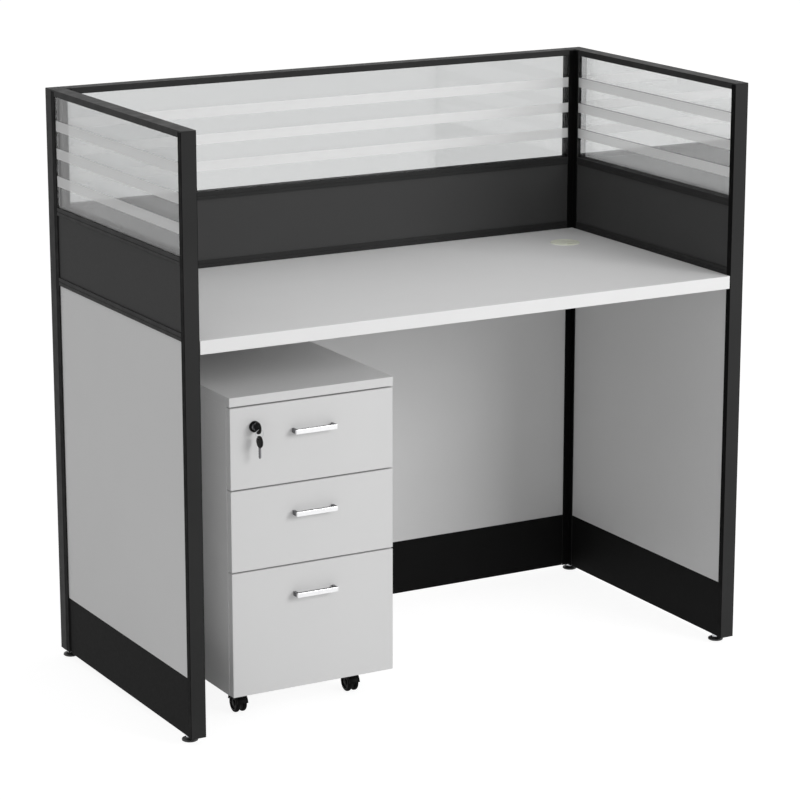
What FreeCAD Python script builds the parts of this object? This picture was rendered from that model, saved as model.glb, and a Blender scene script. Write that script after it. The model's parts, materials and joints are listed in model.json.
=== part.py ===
import FreeCAD, Part
import math
import os

# Cubicle workstation: three glazed screens round a desktop, and a mobile pedestal with three drawers.
# All lengths are in millimetres. X runs to the sitter's right, Y from the sitter to the rear screen
# and Z up. The origin lies on the floor, under the middle of the footprint.

# Whole workstation
WIDTH = 1200.0
DEPTH = 600.0
HEIGHT = 1130.0
SCREEN_T = 30.0
FOOT_H = 15.0
DESK_TOP_Z = 755.0
FIT = 0.05          # radial clearance of a shaft or stud that turns or slides in its hole
PLAY = 0.3          # clearance between pieces that slide past each other
CUT = 2.0           # how far a cutting tool runs past the face that it cuts

# Screen frames: extruded stiles and rails with a groove for the infill
STILE_W = 13.0
RAIL_H = 15.0
TOP_RAIL_H = 12.0
KICK_H = 113.0
UPPER_BOARD_H = 121.0
GROOVE_D = 6.0
GROOVE_PLAY = 0.2
PROFILE_WALL = 1.5
RAIL_LINE_H = 1.6
RAIL_LINE_D = 0.8
EDGE_R = 0.8

# Infill: boards and double glazing
INFILL_T = 25.0
END_PLAY = 3.0
HEAD_PLAY = 0.5
PANE_T = 8.0
SPACER_W = 6.0
KICK_SKIN_T = 1.5
KICK_GAP = 0.5

# Corner posts: square extrusions with a central screw boss and diagonal webs
POST_CHAMFER = 2.0
POST_WALL = 2.0
POST_BOSS_R = 7.0
CAP_T = 2.5
CAP_PLUG_L = 8.0

# Bolts between stiles and corner posts
BOLT_R = 2.5
BOLT_HEAD_R = 4.5
BOLT_HEAD_H = 2.2
BOLT_TIP_L = 3.0
BOLT_HEIGHT_SHARES = (0.1, 0.5, 0.9)

# Levelling glides
GLIDE_R = 15.0
GLIDE_PAD_H = 11.0
GLIDE_EDGE_R = 2.0
GLIDE_HUB_R = 8.0
GLIDE_STUD_R = 4.0
GLIDE_STUD_L = 36.0
FRONT_GLIDE_IN = 38.0

# Desktop, its brackets and its cable grommet
DESK_T = 25.0
DESK_GAP = 1.0
DESK_EDGE_R = 1.0
BRACKET_W = 40.0
BRACKET_LEG = 42.0
BRACKET_T = 3.0
BRACKET_SIDE_Y = 100.0
BRACKET_REAR_X = 350.0
SCREW_R = 1.8
SCREW_L = 16.0
SCREW_HEAD_R = 3.6
SCREW_HEAD_H = 2.0
SCREW_SPACING = 22.0
GROMMET_R = 30.0
GROMMET_LIP_H = 1.6
GROMMET_TUBE_R = 26.0
GROMMET_WALL = 1.6
GROMMET_L = 20.0
GROMMET_LEDGE = 1.6
GROMMET_CAP_T = 2.4
GROMMET_CAP_DROP = 0.4
GROMMET_NOTCH_W = 14.0
GROMMET_NOTCH_D = 12.0
GROMMET_IN_X = 131.0
GROMMET_IN_Y = 161.0

# Pedestal cabinet
PED_W = 338.0
PED_TOP_Z = 630.0
PED_SIDE_GAP = 110.0
PED_SETBACK = 50.0
PED_REAR_GAP = 22.5
PED_TOP_T = 17.0
PED_BOARD_T = 16.0
PED_BACK_T = 9.0
PED_BACK_INSET = 8.0
PED_EDGE_R = 0.6

# Drawers
FRONT_T = 16.0
FRONT_GAP = 3.0
FRONT_SIDE_GAP = 1.0
SMALL_FRONT_H = 153.0
BOX_WALL = 12.0
BOX_BOTTOM_T = 6.0
BOX_REAR_GAP = 47.0
BOX_LIFT = 22.0
SMALL_BOX_H = 78.0
LARGE_BOX_H = 180.0
RUNNER_SPACE = 12.7
RUNNER_H = 45.0
RUNNER_T = 1.2
RUNNER_LIFT = 12.0
RUNNER_REAR_GAP = 38.0
RUNNER_SETBACK = 45.0
RUNNER_FLANGE = 9.0

# Bar handles
HANDLE_L = 85.0
HANDLE_H = 9.0
HANDLE_OUT = 18.0
HANDLE_T = 5.0
HANDLE_DROP = 55.0
HANDLE_R = 0.9

# Drawer lock: housing, core with an eccentric pin, and the bar that the pin lifts
LOCK_IN = 50.0
LOCK_DROP = 38.0
LOCK_FLANGE_R = 10.5
LOCK_FLANGE_T = 3.5
LOCK_BARREL_R = 9.0
LOCK_BARREL_OUT = 4.0
LOCK_CORE_R = 6.5
LOCK_DISC_R = 11.0
LOCK_DISC_T = 2.0
LOCK_THROW_R = 8.0
LOCK_REST_ANGLE = 45.0
LOCK_PIN_R = 2.0
LOCK_PIN_L = 9.0
LOCK_SLOT_PLAY = 0.6
BAR_W = 12.0
BAR_T = 3.0
BAR_SETBACK = 20.0
BAR_END_GAP = 16.0
TAB_T = 3.0
TAB_GAP = 1.2
TAB_MARGIN = 3.0
CATCH_H = 8.0
CATCH_OUT = 8.0
CATCH_D = 6.0
CATCH_GAP = 2.0
PEG_D = 5.0
PEG_GAP = 3.0
PEG_OUT = 9.0

# Key, ring and spare key
KEY_BOW_R = 11.0
KEY_BOW_T = 4.0
KEY_BOW_EDGE_R = 1.2
KEY_STOP = 1.0
KEY_BLADE_L = 20.0
KEY_BLADE_H = 7.0
KEY_BLADE_T = 2.0
KEY_SLOT_PLAY = 0.2
KEY_HOLE_R = 2.6
KEY_HOLE_OUT = 6.0
KEY_BIT = 1.4
KEY_BITS = 3
RING_R = 7.5
RING_WIRE_R = 0.7

# Twin-wheel castors
CASTOR_H = 60.0
CASTOR_IN_X = 50.0
CASTOR_IN_Y = 66.0
CASTOR_TRAIL = 16.0
CASTOR_STEM_R = 4.0
CASTOR_STEM_L = 14.0
CASTOR_COLLAR_R = 8.0
CASTOR_COLLAR_H = 17.0
CASTOR_TOP_GAP = 0.5
WHEEL_R = 18.0
WHEEL_W = 8.0
WHEEL_EDGE_R = 2.5
WHEEL_GAP = 0.5
WHEEL_DISH_R = 12.0
WHEEL_DISH_D = 2.0
AXLE_R = 3.0
WEB_T = 5.0
HOOD_GAP = 1.5
HOOD_T = 2.0
HOOD_LOW = 3.0

# Levels and places that follow from the sizes above
KICK_TOP = FOOT_H + KICK_H
BELT_LOW = DESK_TOP_Z
BELT_TOP = BELT_LOW + RAIL_H
GLAZING_LOW = BELT_TOP + UPPER_BOARD_H
GLAZING_TOP = GLAZING_LOW + RAIL_H
TOP_LOW = HEIGHT - TOP_RAIL_H
STILE_TOP = HEIGHT - CAP_T
GROOVE_W = INFILL_T + 2 * GROOVE_PLAY
SKIN_GAP_W = INFILL_T - 2 * KICK_SKIN_T
SIDE_L = DEPTH - SCREEN_T
REAR_L = WIDTH - 2 * SCREEN_T
INNER_X = WIDTH / 2 - SCREEN_T
INNER_Y = DEPTH / 2 - SCREEN_T
POST_X = WIDTH / 2 - SCREEN_T / 2
POST_Y = DEPTH / 2 - SCREEN_T / 2
BOARD_X = POST_X - INFILL_T / 2
BOARD_Y = POST_Y - INFILL_T / 2
DESK_LOW = DESK_TOP_Z - DESK_T
FRONT_GLIDE_Y = -DEPTH / 2 + FRONT_GLIDE_IN

PED_LEFT = -WIDTH / 2 + PED_SIDE_GAP
PED_RIGHT = PED_LEFT + PED_W
PED_FRONT = -DEPTH / 2 + PED_SETBACK
PED_REAR = BOARD_Y - PED_REAR_GAP
PED_BACK_FACE = PED_REAR - PED_BACK_INSET - PED_BACK_T
PED_MID_X = PED_LEFT + PED_W / 2
PED_LID_Z = PED_TOP_Z - PED_TOP_T
PED_INNER_LEFT = PED_LEFT + PED_BOARD_T
PED_INNER_RIGHT = PED_RIGHT - PED_BOARD_T
CASE_FRONT = PED_FRONT + FRONT_T + PLAY
BOX_LEFT = PED_INNER_LEFT + RUNNER_SPACE
BOX_RIGHT = PED_INNER_RIGHT - RUNNER_SPACE
BOX_FRONT = PED_FRONT + FRONT_T
BOX_REAR = PED_BACK_FACE - BOX_REAR_GAP
RUNNER_Y = PED_FRONT + RUNNER_SETBACK
RUNNER_L = PED_BACK_FACE - RUNNER_REAR_GAP - RUNNER_Y
PEG_LIFT = RUNNER_LIFT + RUNNER_H + PLAY + CATCH_H + CATCH_GAP
LARGE_FRONT_H = PED_LID_Z - CASTOR_H - 2 * SMALL_FRONT_H - 3 * FRONT_GAP

LOCK_X = PED_LEFT + LOCK_IN
LOCK_Z = PED_LID_Z - FRONT_GAP - LOCK_DROP
LOCK_FACE = PED_FRONT - LOCK_FLANGE_T
LOCK_BACK = BOX_FRONT + LOCK_BARREL_OUT
LOCK_LIFT = LOCK_THROW_R * math.sin(math.radians(LOCK_REST_ANGLE)) * 2
KEY_BOW_Y = LOCK_FACE - KEY_STOP - KEY_BOW_R
KEY_HOLE_Y = KEY_BOW_Y - KEY_HOLE_OUT
RING_HANG = KEY_HOLE_R - RING_WIRE_R - PLAY
RING_Z = LOCK_Z - RING_HANG - RING_R
SPARE_HOLE_Z = RING_Z - RING_R - RING_HANG

X_AXIS = FreeCAD.Vector(1, 0, 0)
Y_AXIS = FreeCAD.Vector(0, 1, 0)
Z_AXIS = FreeCAD.Vector(0, 0, 1)


def block(low, high):
    """A box between its lowest and highest corners, each (x, y, z)."""
    sizes = [b - a for a, b in zip(low, high)]
    return Part.makeBox(*sizes, FreeCAD.Vector(*low))


def rod(radius, start, direction, length):
    """A cylinder from the point start, along a unit direction."""
    return Part.makeCylinder(radius, length, FreeCAD.Vector(*start), direction)


def prism(points, direction, length):
    """A straight extrusion of the closed outline through points."""
    corners = [FreeCAD.Vector(*p) for p in points]
    face = Part.Face(Part.makePolygon(corners + corners[:1]))
    return face.extrude(direction * length)


def joined(shapes):
    """One solid from shapes that meet."""
    whole = shapes[0]
    for shape in shapes[1:]:
        whole = whole.fuse(shape)
    return whole.removeSplitter()


def without(shape, tools):
    """The shape less all the tools."""
    for tool in tools:
        shape = shape.cut(tool)
    return shape


def softened(shape, radius, wanted):
    """The shape with the edges that wanted(edge) picks rounded."""
    return shape.makeFillet(radius, [edge for edge in shape.Edges if wanted(edge)])


def runs_along(axis):
    """A test for straight edges along an axis."""
    def test(edge):
        return edge.Curve.TypeId == "Part::GeomLine" and abs(edge.Curve.Direction.dot(axis)) > 0.99
    return test


def moved(shape, turn, offset):
    """A copy turned about Z by turn degrees, then moved by offset."""
    copy = shape.copy()
    copy.rotate(FreeCAD.Vector(0, 0, 0), Z_AXIS, turn)
    copy.translate(FreeCAD.Vector(*offset))
    return copy


def save(name, shapes):
    """Write one node: a solid, or a group of separate solids."""
    shape = shapes[0] if len(shapes) == 1 else Part.makeCompound(shapes)
    shape.exportStep(os.path.join("parts", name + ".step"))
    print(name, len(shapes), "solids, volume", round(shape.Volume / 1000.0, 1), "cm3")


# Screens: each is built lying along X from its start, centred on Y = 0, then placed

def stile(at_start, length):
    """An upright of a screen: a grooved, hollow extrusion."""
    low, high = (0, STILE_W) if at_start else (length - STILE_W, length)
    body = block((low, -SCREEN_T / 2, FOOT_H), (high, SCREEN_T / 2, STILE_TOP))
    body = softened(body, EDGE_R, runs_along(Z_AXIS))
    mouth = high if at_start else low
    floor = mouth - GROOVE_D if at_start else mouth + GROOVE_D
    past = mouth + CUT if at_start else mouth - CUT
    groove = block((min(floor, past), -GROOVE_W / 2, FOOT_H - CUT), (max(floor, past), GROOVE_W / 2, HEIGHT))
    back = low if at_start else floor
    wide = SCREEN_T / 2 - PROFILE_WALL
    chamber = block((back + PROFILE_WALL, -wide, FOOT_H - CUT),
                    (back + STILE_W - GROOVE_D - PROFILE_WALL, wide, HEIGHT))
    return without(body, [groove, chamber])


def rail(length, low, high, groove_below, groove_above):
    """A rail between the stiles, with a groove for the infill below it, above it or both."""
    body = block((STILE_W, -SCREEN_T / 2, low), (length - STILE_W, SCREEN_T / 2, high))
    tools = []
    if groove_below:
        tools.append(block((0, -GROOVE_W / 2, low - CUT), (length, GROOVE_W / 2, low + GROOVE_D)))
    if groove_above:
        tools.append(block((0, -GROOVE_W / 2, high - GROOVE_D), (length, GROOVE_W / 2, high + CUT)))
    if groove_below and groove_above:
        middle = (low + high) / 2
        for side in (-1, 1):
            faces = sorted((side * (SCREEN_T / 2 - RAIL_LINE_D), side * (SCREEN_T / 2 + CUT)))
            tools.append(block((0, faces[0], middle - RAIL_LINE_H / 2),
                               (length, faces[1], middle + RAIL_LINE_H / 2)))
    return without(body, tools)


def hidden_rail(length, low, stud_places):
    """A tube between the kick plates, drilled where a glide's stud passes."""
    ends = (STILE_W, length - STILE_W)
    half = SKIN_GAP_W / 2
    body = block((ends[0], -half, low), (ends[1], half, low + RAIL_H))
    inside = block((ends[0] - CUT, -half + PROFILE_WALL, low + PROFILE_WALL),
                   (ends[1] + CUT, half - PROFILE_WALL, low + RAIL_H - PROFILE_WALL))
    holes = [rod(GLIDE_STUD_R + FIT, (s, 0, low - CUT), Z_AXIS, RAIL_H + 2 * CUT) for s in stud_places]
    return without(body, [inside] + holes)


def screen_frame(length, stud_places):
    """The aluminium frame of a screen, as its separate stiles and rails."""
    return [
        stile(True, length),
        stile(False, length),
        rail(length, TOP_LOW, HEIGHT, True, False),
        rail(length, GLAZING_LOW, GLAZING_TOP, True, True),
        rail(length, BELT_LOW, BELT_TOP, True, True),
        hidden_rail(length, KICK_TOP - RAIL_H, []),
        hidden_rail(length, FOOT_H, stud_places),
    ]


def infill_ends(length):
    """Where the infill starts and ends along a screen."""
    inset = STILE_W - GROOVE_D + END_PLAY
    return inset, length - inset


def board(length, low, high):
    """An infill board that stands on its lower edge."""
    start, end = infill_ends(length)
    return block((start, -INFILL_T / 2, low), (end, INFILL_T / 2, high))


def glazing(length):
    """The two panes of a double-glazed unit, and the spacer ring between them."""
    start, end = infill_ends(length)
    low = GLAZING_TOP - GROOVE_D
    high = TOP_LOW + GROOVE_D - HEAD_PLAY
    gap = INFILL_T / 2 - PANE_T
    panes = [
        block((start, -INFILL_T / 2, low), (end, -gap, high)),
        block((start, gap, low), (end, INFILL_T / 2, high)),
    ]
    ring = block((start, -gap, low), (end, gap, high))
    window = block((start + SPACER_W, -INFILL_T, low + SPACER_W), (end - SPACER_W, INFILL_T, high - SPACER_W))
    return panes, ring.cut(window)


def kick_plates(length):
    """The two thin covers over the raceway at the foot of a screen."""
    plates = []
    for inner, outer in ((-INFILL_T / 2, -SKIN_GAP_W / 2), (SKIN_GAP_W / 2, INFILL_T / 2)):
        plates.append(block((STILE_W, inner, FOOT_H), (length - STILE_W, outer, KICK_TOP - KICK_GAP)))
    return plates


def corner_bolts(length, at_start, at_end):
    """Bolts from the floor of a stile's groove into the post behind it, for the ends that meet one."""
    floor = STILE_W - GROOVE_D
    shank = floor + POST_WALL + BOLT_TIP_L
    ends = [end for end, wanted in (((floor, -1), at_start), ((length - floor, 1), at_end)) if wanted]
    bolts = []
    for share in BOLT_HEIGHT_SHARES:
        z = FOOT_H + share * (HEIGHT - FOOT_H)
        for x, way in ends:
            head = rod(BOLT_HEAD_R, (x, 0, z), X_AXIS * -way, BOLT_HEAD_H)
            bolts.append(joined([head, rod(BOLT_R, (x, 0, z), X_AXIS * way, shank)]))
    return bolts


def corner_post():
    """A square post round a central boss, which takes the glide's stud below and the cap above."""
    half = SCREEN_T / 2
    outside = block((-half, -half, FOOT_H), (half, half, STILE_TOP))
    corners = runs_along(Z_AXIS)
    outside = outside.makeChamfer(POST_CHAMFER, [edge for edge in outside.Edges if corners(edge)])
    inner = half - POST_WALL
    hollow = block((-inner, -inner, FOOT_H - CUT), (inner, inner, HEIGHT))
    reach = inner * math.sqrt(2) - POST_CHAMFER
    webs = []
    for turn in (45, 135):
        web = block((-reach, -POST_WALL / 2, FOOT_H), (reach, POST_WALL / 2, STILE_TOP))
        webs.append(moved(web, turn, (0, 0, 0)))
    boss = rod(POST_BOSS_R, (0, 0, FOOT_H), Z_AXIS, STILE_TOP - FOOT_H)
    post = joined([outside.cut(hollow), webs[0], webs[1], boss])
    return post.cut(rod(GLIDE_STUD_R + FIT, (0, 0, FOOT_H - CUT), Z_AXIS, HEIGHT))


def corner_cap():
    """The flat lid of a corner post, with the peg that holds it."""
    half = SCREEN_T / 2
    lid = block((-half, -half, STILE_TOP), (half, half, HEIGHT))
    corners = runs_along(Z_AXIS)
    lid = lid.makeChamfer(POST_CHAMFER, [edge for edge in lid.Edges if corners(edge)])
    return joined([lid, rod(GLIDE_STUD_R, (0, 0, STILE_TOP - CAP_PLUG_L), Z_AXIS, CAP_PLUG_L)])


def stile_cap(at_start, length):
    """The lid of a stile, with the plug that fills its chamber."""
    low, high = (0, STILE_W) if at_start else (length - STILE_W, length)
    lid = block((low, -SCREEN_T / 2, STILE_TOP), (high, SCREEN_T / 2, HEIGHT))
    lid = softened(lid, EDGE_R, runs_along(Z_AXIS))
    back = low if at_start else high - STILE_W + GROOVE_D
    wall = PROFILE_WALL + FIT
    wide = SCREEN_T / 2 - wall
    plug = block((back + wall, -wide, STILE_TOP - CAP_PLUG_L),
                 (back + STILE_W - GROOVE_D - wall, wide, STILE_TOP))
    return joined([lid, plug])


# Each screen's name, length, turn about Z, place of its start, glide studs, and the ends that meet a post
SCREENS = (
    ("left", SIDE_L, 90, (-POST_X, -DEPTH / 2, 0), [FRONT_GLIDE_IN], False, True),
    ("rear", REAR_L, 0, (-INNER_X, POST_Y, 0), [], True, True),
    ("right", SIDE_L, 90, (POST_X, -DEPTH / 2, 0), [FRONT_GLIDE_IN], False, True),
)


def write_screens(screws):
    """Frames, glazing, boards, kick plates, posts, caps and bolts. Screw holes are cut in the boards."""
    spacers, caps, bolts = [], [], []
    for name, length, turn, start, studs, meets_start, meets_end in SCREENS:
        def place(shapes):
            return [moved(shape, turn, start) for shape in shapes]
        new_bolts = place(corner_bolts(length, meets_start, meets_end))
        holes = [grown_bolt(bolt) for bolt in new_bolts]
        frame = place(screen_frame(length, studs))
        save(name + "_frame", [without(piece, holes) for piece in frame[:2]] + frame[2:])
        panes, ring = glazing(length)
        save(name + "_glass", place(panes))
        spacers += place([ring])
        upper = board(length, BELT_TOP - GROOVE_D, GLAZING_LOW + GROOVE_D - HEAD_PLAY)
        lower = board(length, KICK_TOP, BELT_LOW + GROOVE_D - HEAD_PLAY)
        save(name + "_upper_board", place([upper]))
        save(name + "_lower_board", [without(place([lower])[0], screws)])
        save(name + "_kick_plates", place(kick_plates(length)))
        caps += place([stile_cap(True, length), stile_cap(False, length)])
        bolts += new_bolts
    posts = [moved(corner_post(), 0, (side * POST_X, POST_Y, 0)) for side in (-1, 1)]
    holes = [grown_bolt(bolt) for bolt in bolts]
    save("corner_posts", [without(post, holes) for post in posts])
    caps += [moved(corner_cap(), 0, (side * POST_X, POST_Y, 0)) for side in (-1, 1)]
    save("post_caps", caps)
    save("glass_spacers", spacers)
    save("corner_bolts", bolts)


def grown_bolt(bolt):
    """The hole that a bolt's shank needs: a rod along it, a little wider."""
    box = bolt.BoundBox
    middle = box.Center
    if box.XLength > box.YLength:
        return rod(BOLT_R + FIT, (box.XMin, middle.y, middle.z), X_AXIS, box.XLength)
    return rod(BOLT_R + FIT, (middle.x, box.YMin, middle.z), Y_AXIS, box.YLength)


# Glides: one turned pad, hub and stud

def glide(x, y):
    """A levelling glide, screwed up until its hub meets the frame."""
    pad = rod(GLIDE_R, (x, y, 0), Z_AXIS, GLIDE_PAD_H)
    pad = softened(pad, GLIDE_EDGE_R, lambda edge: edge.Curve.TypeId == "Part::GeomCircle")
    hub = rod(GLIDE_HUB_R, (x, y, 0), Z_AXIS, FOOT_H)
    stud = rod(GLIDE_STUD_R, (x, y, 0), Z_AXIS, FOOT_H + GLIDE_STUD_L)
    return joined([pad, hub, stud])


def write_glides():
    for side, sign in (("left", -1), ("right", 1)):
        save(side + "_front_glide", [glide(sign * POST_X, FRONT_GLIDE_Y)])
        save(side + "_rear_glide", [glide(sign * POST_X, POST_Y)])


# Desktop, brackets and grommet

def bracket(inward):
    """An angle bracket at the origin: one leg on the board at its back, one under the desktop.

    inward is the direction, along X, from the board to the desktop's middle."""
    half = BRACKET_W / 2
    upright = sorted((0, inward * BRACKET_T))
    flat = sorted((0, inward * BRACKET_LEG))
    return joined([
        block((upright[0], -half, -BRACKET_LEG), (upright[1], half, 0)),
        block((flat[0], -half, -BRACKET_T), (flat[1], half, 0)),
    ])


def screw(start, direction):
    """A pan-head screw with its head's seat at start, driven along direction."""
    head = rod(SCREW_HEAD_R, start, direction * -1, SCREW_HEAD_H)
    return joined([head, rod(SCREW_R, start, direction, SCREW_L)])


def screw_hole(start, direction):
    """The clearance hole of a screw, through the bracket and into the board."""
    return rod(SCREW_R + FIT, start, direction, SCREW_L + PLAY)


def bracket_sites():
    """Turn about Z, and place of the board's face at the desktop's underside, for each bracket."""
    sites = []
    for y in (-BRACKET_SIDE_Y, BRACKET_SIDE_Y):
        sites.append((0, (-BOARD_X, y, DESK_LOW)))
        sites.append((180, (BOARD_X, y, DESK_LOW)))
    for x in (-BRACKET_REAR_X, BRACKET_REAR_X):
        sites.append((-90, (x, BOARD_Y, DESK_LOW)))
    return sites


def bracket_screws(make):
    """make(start, direction) for the four screws of every bracket."""
    made = []
    reach = (BRACKET_LEG + BRACKET_T) / 2
    for turn, place in bracket_sites():
        for y in (-SCREW_SPACING / 2, SCREW_SPACING / 2):
            up = make((reach, y, -BRACKET_T), Z_AXIS)
            out = make((BRACKET_T, y, -reach), X_AXIS * -1)
            made += [moved(up, turn, place), moved(out, turn, place)]
    return made


GROMMET_X = WIDTH / 2 - GROMMET_IN_X
GROMMET_Y = DEPTH / 2 - GROMMET_IN_Y


def write_desktop():
    """The desktop with its cable hole, the brackets, their screws and the grommet."""
    half = INNER_X - DESK_GAP
    desk = block((-half, -DEPTH / 2, DESK_LOW), (half, INNER_Y - DESK_GAP, DESK_TOP_Z))
    desk = softened(desk, DESK_EDGE_R, lambda edge: runs_along(X_AXIS)(edge) and edge.BoundBox.YMax < 0)
    hole = rod(GROMMET_TUBE_R + PLAY, (GROMMET_X, GROMMET_Y, DESK_LOW - CUT), Z_AXIS, DESK_T + 2 * CUT)
    holes = bracket_screws(screw_hole)
    save("desktop", [without(desk, [hole] + holes)])
    save("desk_brackets", [without(moved(bracket(1), turn, place), holes) for turn, place in bracket_sites()])
    save("desk_screws", bracket_screws(screw))

    centre = (GROMMET_X, GROMMET_Y)
    bore_r = GROMMET_TUBE_R - GROMMET_WALL
    ledge_z = DESK_TOP_Z + GROMMET_LIP_H - GROMMET_CAP_DROP - GROMMET_CAP_T
    lip = rod(GROMMET_R, (*centre, DESK_TOP_Z), Z_AXIS, GROMMET_LIP_H)
    lip = softened(lip, GROMMET_LIP_H / 2, lambda edge: edge.BoundBox.ZMin > DESK_TOP_Z + GROMMET_LIP_H / 2)
    tube = rod(GROMMET_TUBE_R, (*centre, DESK_TOP_Z - GROMMET_L), Z_AXIS, GROMMET_L)
    sleeve = without(joined([lip, tube]), [
        rod(bore_r, (*centre, ledge_z), Z_AXIS, GROMMET_L),
        rod(bore_r - GROMMET_LEDGE, (*centre, DESK_TOP_Z - GROMMET_L - CUT), Z_AXIS, GROMMET_L + CUT),
    ])
    save("grommet_sleeve", [sleeve])
    cap_r = bore_r - PLAY
    cap = rod(cap_r, (*centre, ledge_z), Z_AXIS, GROMMET_CAP_T)
    notch_y = GROMMET_Y - cap_r
    notch = block((GROMMET_X - GROMMET_NOTCH_W / 2, notch_y - CUT, ledge_z - CUT),
                  (GROMMET_X + GROMMET_NOTCH_W / 2, notch_y + GROMMET_NOTCH_D, DESK_TOP_Z + GROMMET_L))
    upright = runs_along(Z_AXIS)
    notch = softened(notch, GROMMET_NOTCH_W / 4, lambda edge: upright(edge) and edge.BoundBox.YMin > notch_y)
    save("grommet_cap", [cap.cut(notch)])


# Pedestal

def castor_stems():
    """The four swivel axes, as (x, y)."""
    xs = (PED_LEFT + CASTOR_IN_X, PED_RIGHT - CASTOR_IN_X)
    ys = (PED_FRONT + CASTOR_IN_Y, PED_REAR - CASTOR_IN_Y)
    return [(x, y) for y in ys for x in xs]


def write_cabinet():
    """The pedestal's boards. The left side has the channel that the lock bar slides in."""
    edge_r = PED_EDGE_R
    top = block((PED_LEFT, PED_FRONT, PED_LID_Z), (PED_RIGHT, PED_REAR, PED_TOP_Z))
    save("pedestal_top", [softened(top, edge_r, runs_along(X_AXIS))])
    left = block((PED_LEFT, CASE_FRONT, CASTOR_H), (PED_INNER_LEFT, PED_REAR, PED_LID_Z))
    channel = block((PED_INNER_LEFT - BAR_T - PLAY, PED_FRONT + BAR_SETBACK - PLAY, CASTOR_H + PED_BOARD_T),
                    (PED_INNER_LEFT + CUT, PED_FRONT + BAR_SETBACK + BAR_W + PLAY, PED_LID_Z + CUT))
    save("pedestal_left_side", [left.cut(channel)])
    right = block((PED_INNER_RIGHT, CASE_FRONT, CASTOR_H), (PED_RIGHT, PED_REAR, PED_LID_Z))
    save("pedestal_right_side", [right])
    floor = block((PED_INNER_LEFT, CASE_FRONT, CASTOR_H), (PED_INNER_RIGHT, PED_REAR, CASTOR_H + PED_BOARD_T))
    sockets = [rod(CASTOR_STEM_R + FIT, (x, y, CASTOR_H - CUT), Z_AXIS, CASTOR_STEM_L + PLAY + CUT)
               for x, y in castor_stems()]
    save("pedestal_floor", [without(floor, sockets)])
    back = block((PED_INNER_LEFT, PED_BACK_FACE, CASTOR_H + PED_BOARD_T),
                 (PED_INNER_RIGHT, PED_BACK_FACE + PED_BACK_T, PED_LID_Z))
    save("pedestal_back", [back])


def drawer_levels():
    """Bottom of the front, height of the front and height of the box, for each drawer from the top."""
    levels = []
    top = PED_LID_Z - FRONT_GAP
    small = (SMALL_FRONT_H, SMALL_BOX_H)
    for front_h, box_h in (small, small, (LARGE_FRONT_H, LARGE_BOX_H)):
        levels.append((top - front_h, front_h, box_h))
        top -= front_h + FRONT_GAP
    return levels


def channel_section(low, high, wall_x, way, length, thickness, depth):
    """A C-shaped runner member from z low to high, its web at wall_x and its flanges reaching along way."""
    def across(a, b, z0, z1):
        xs = sorted((wall_x + way * a, wall_x + way * b))
        return block((xs[0], RUNNER_Y, z0), (xs[1], RUNNER_Y + length, z1))
    return joined([
        across(0, thickness, low, high),
        across(0, depth, low, low + thickness),
        across(0, depth, high - thickness, high),
    ])


def runner_pair(box_low):
    """The fixed and the sliding members of one drawer's two runners."""
    low = box_low + RUNNER_LIFT
    high = low + RUNNER_H
    inner_low = low + RUNNER_T + PLAY
    inner_high = high - RUNNER_T - PLAY
    fixed, sliding = [], []
    for case_x, box_x, way in ((PED_INNER_LEFT, BOX_LEFT, 1), (PED_INNER_RIGHT, BOX_RIGHT, -1)):
        fixed.append(channel_section(low, high, case_x, way, RUNNER_L, RUNNER_T, RUNNER_FLANGE))
        sliding.append(channel_section(inner_low, inner_high, box_x, -way, RUNNER_L, RUNNER_T, RUNNER_FLANGE))
    return fixed, sliding


def drawer_box(low, height):
    """A drawer box without a front of its own: two sides, a back and a bottom."""
    floor_top = low + BOX_BOTTOM_T
    return [
        block((BOX_LEFT, BOX_FRONT, low), (BOX_LEFT + BOX_WALL, BOX_REAR, low + height)),
        block((BOX_RIGHT - BOX_WALL, BOX_FRONT, low), (BOX_RIGHT, BOX_REAR, low + height)),
        block((BOX_LEFT + BOX_WALL, BOX_REAR - BOX_WALL, floor_top),
              (BOX_RIGHT - BOX_WALL, BOX_REAR, low + height)),
        block((BOX_LEFT + BOX_WALL, BOX_FRONT, low), (BOX_RIGHT - BOX_WALL, BOX_REAR, floor_top)),
    ]


def handle(front_top):
    """A bar handle on two feet, rounded along its edges."""
    middle = front_top - HANDLE_DROP
    x0, x1 = PED_MID_X - HANDLE_L / 2, PED_MID_X + HANDLE_L / 2
    z0, z1 = middle - HANDLE_H / 2, middle + HANDLE_H / 2
    front_face = PED_FRONT - HANDLE_OUT
    outline = block((x0, front_face, z0), (x1, PED_FRONT, z1))
    gap = block((x0 + HANDLE_T, front_face + HANDLE_T, z0 - CUT), (x1 - HANDLE_T, PED_FRONT + CUT, z1 + CUT))
    bar = outline.cut(gap)
    return softened(bar, HANDLE_R, lambda edge: edge.BoundBox.YMax < front_face + HANDLE_T / 2)


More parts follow.
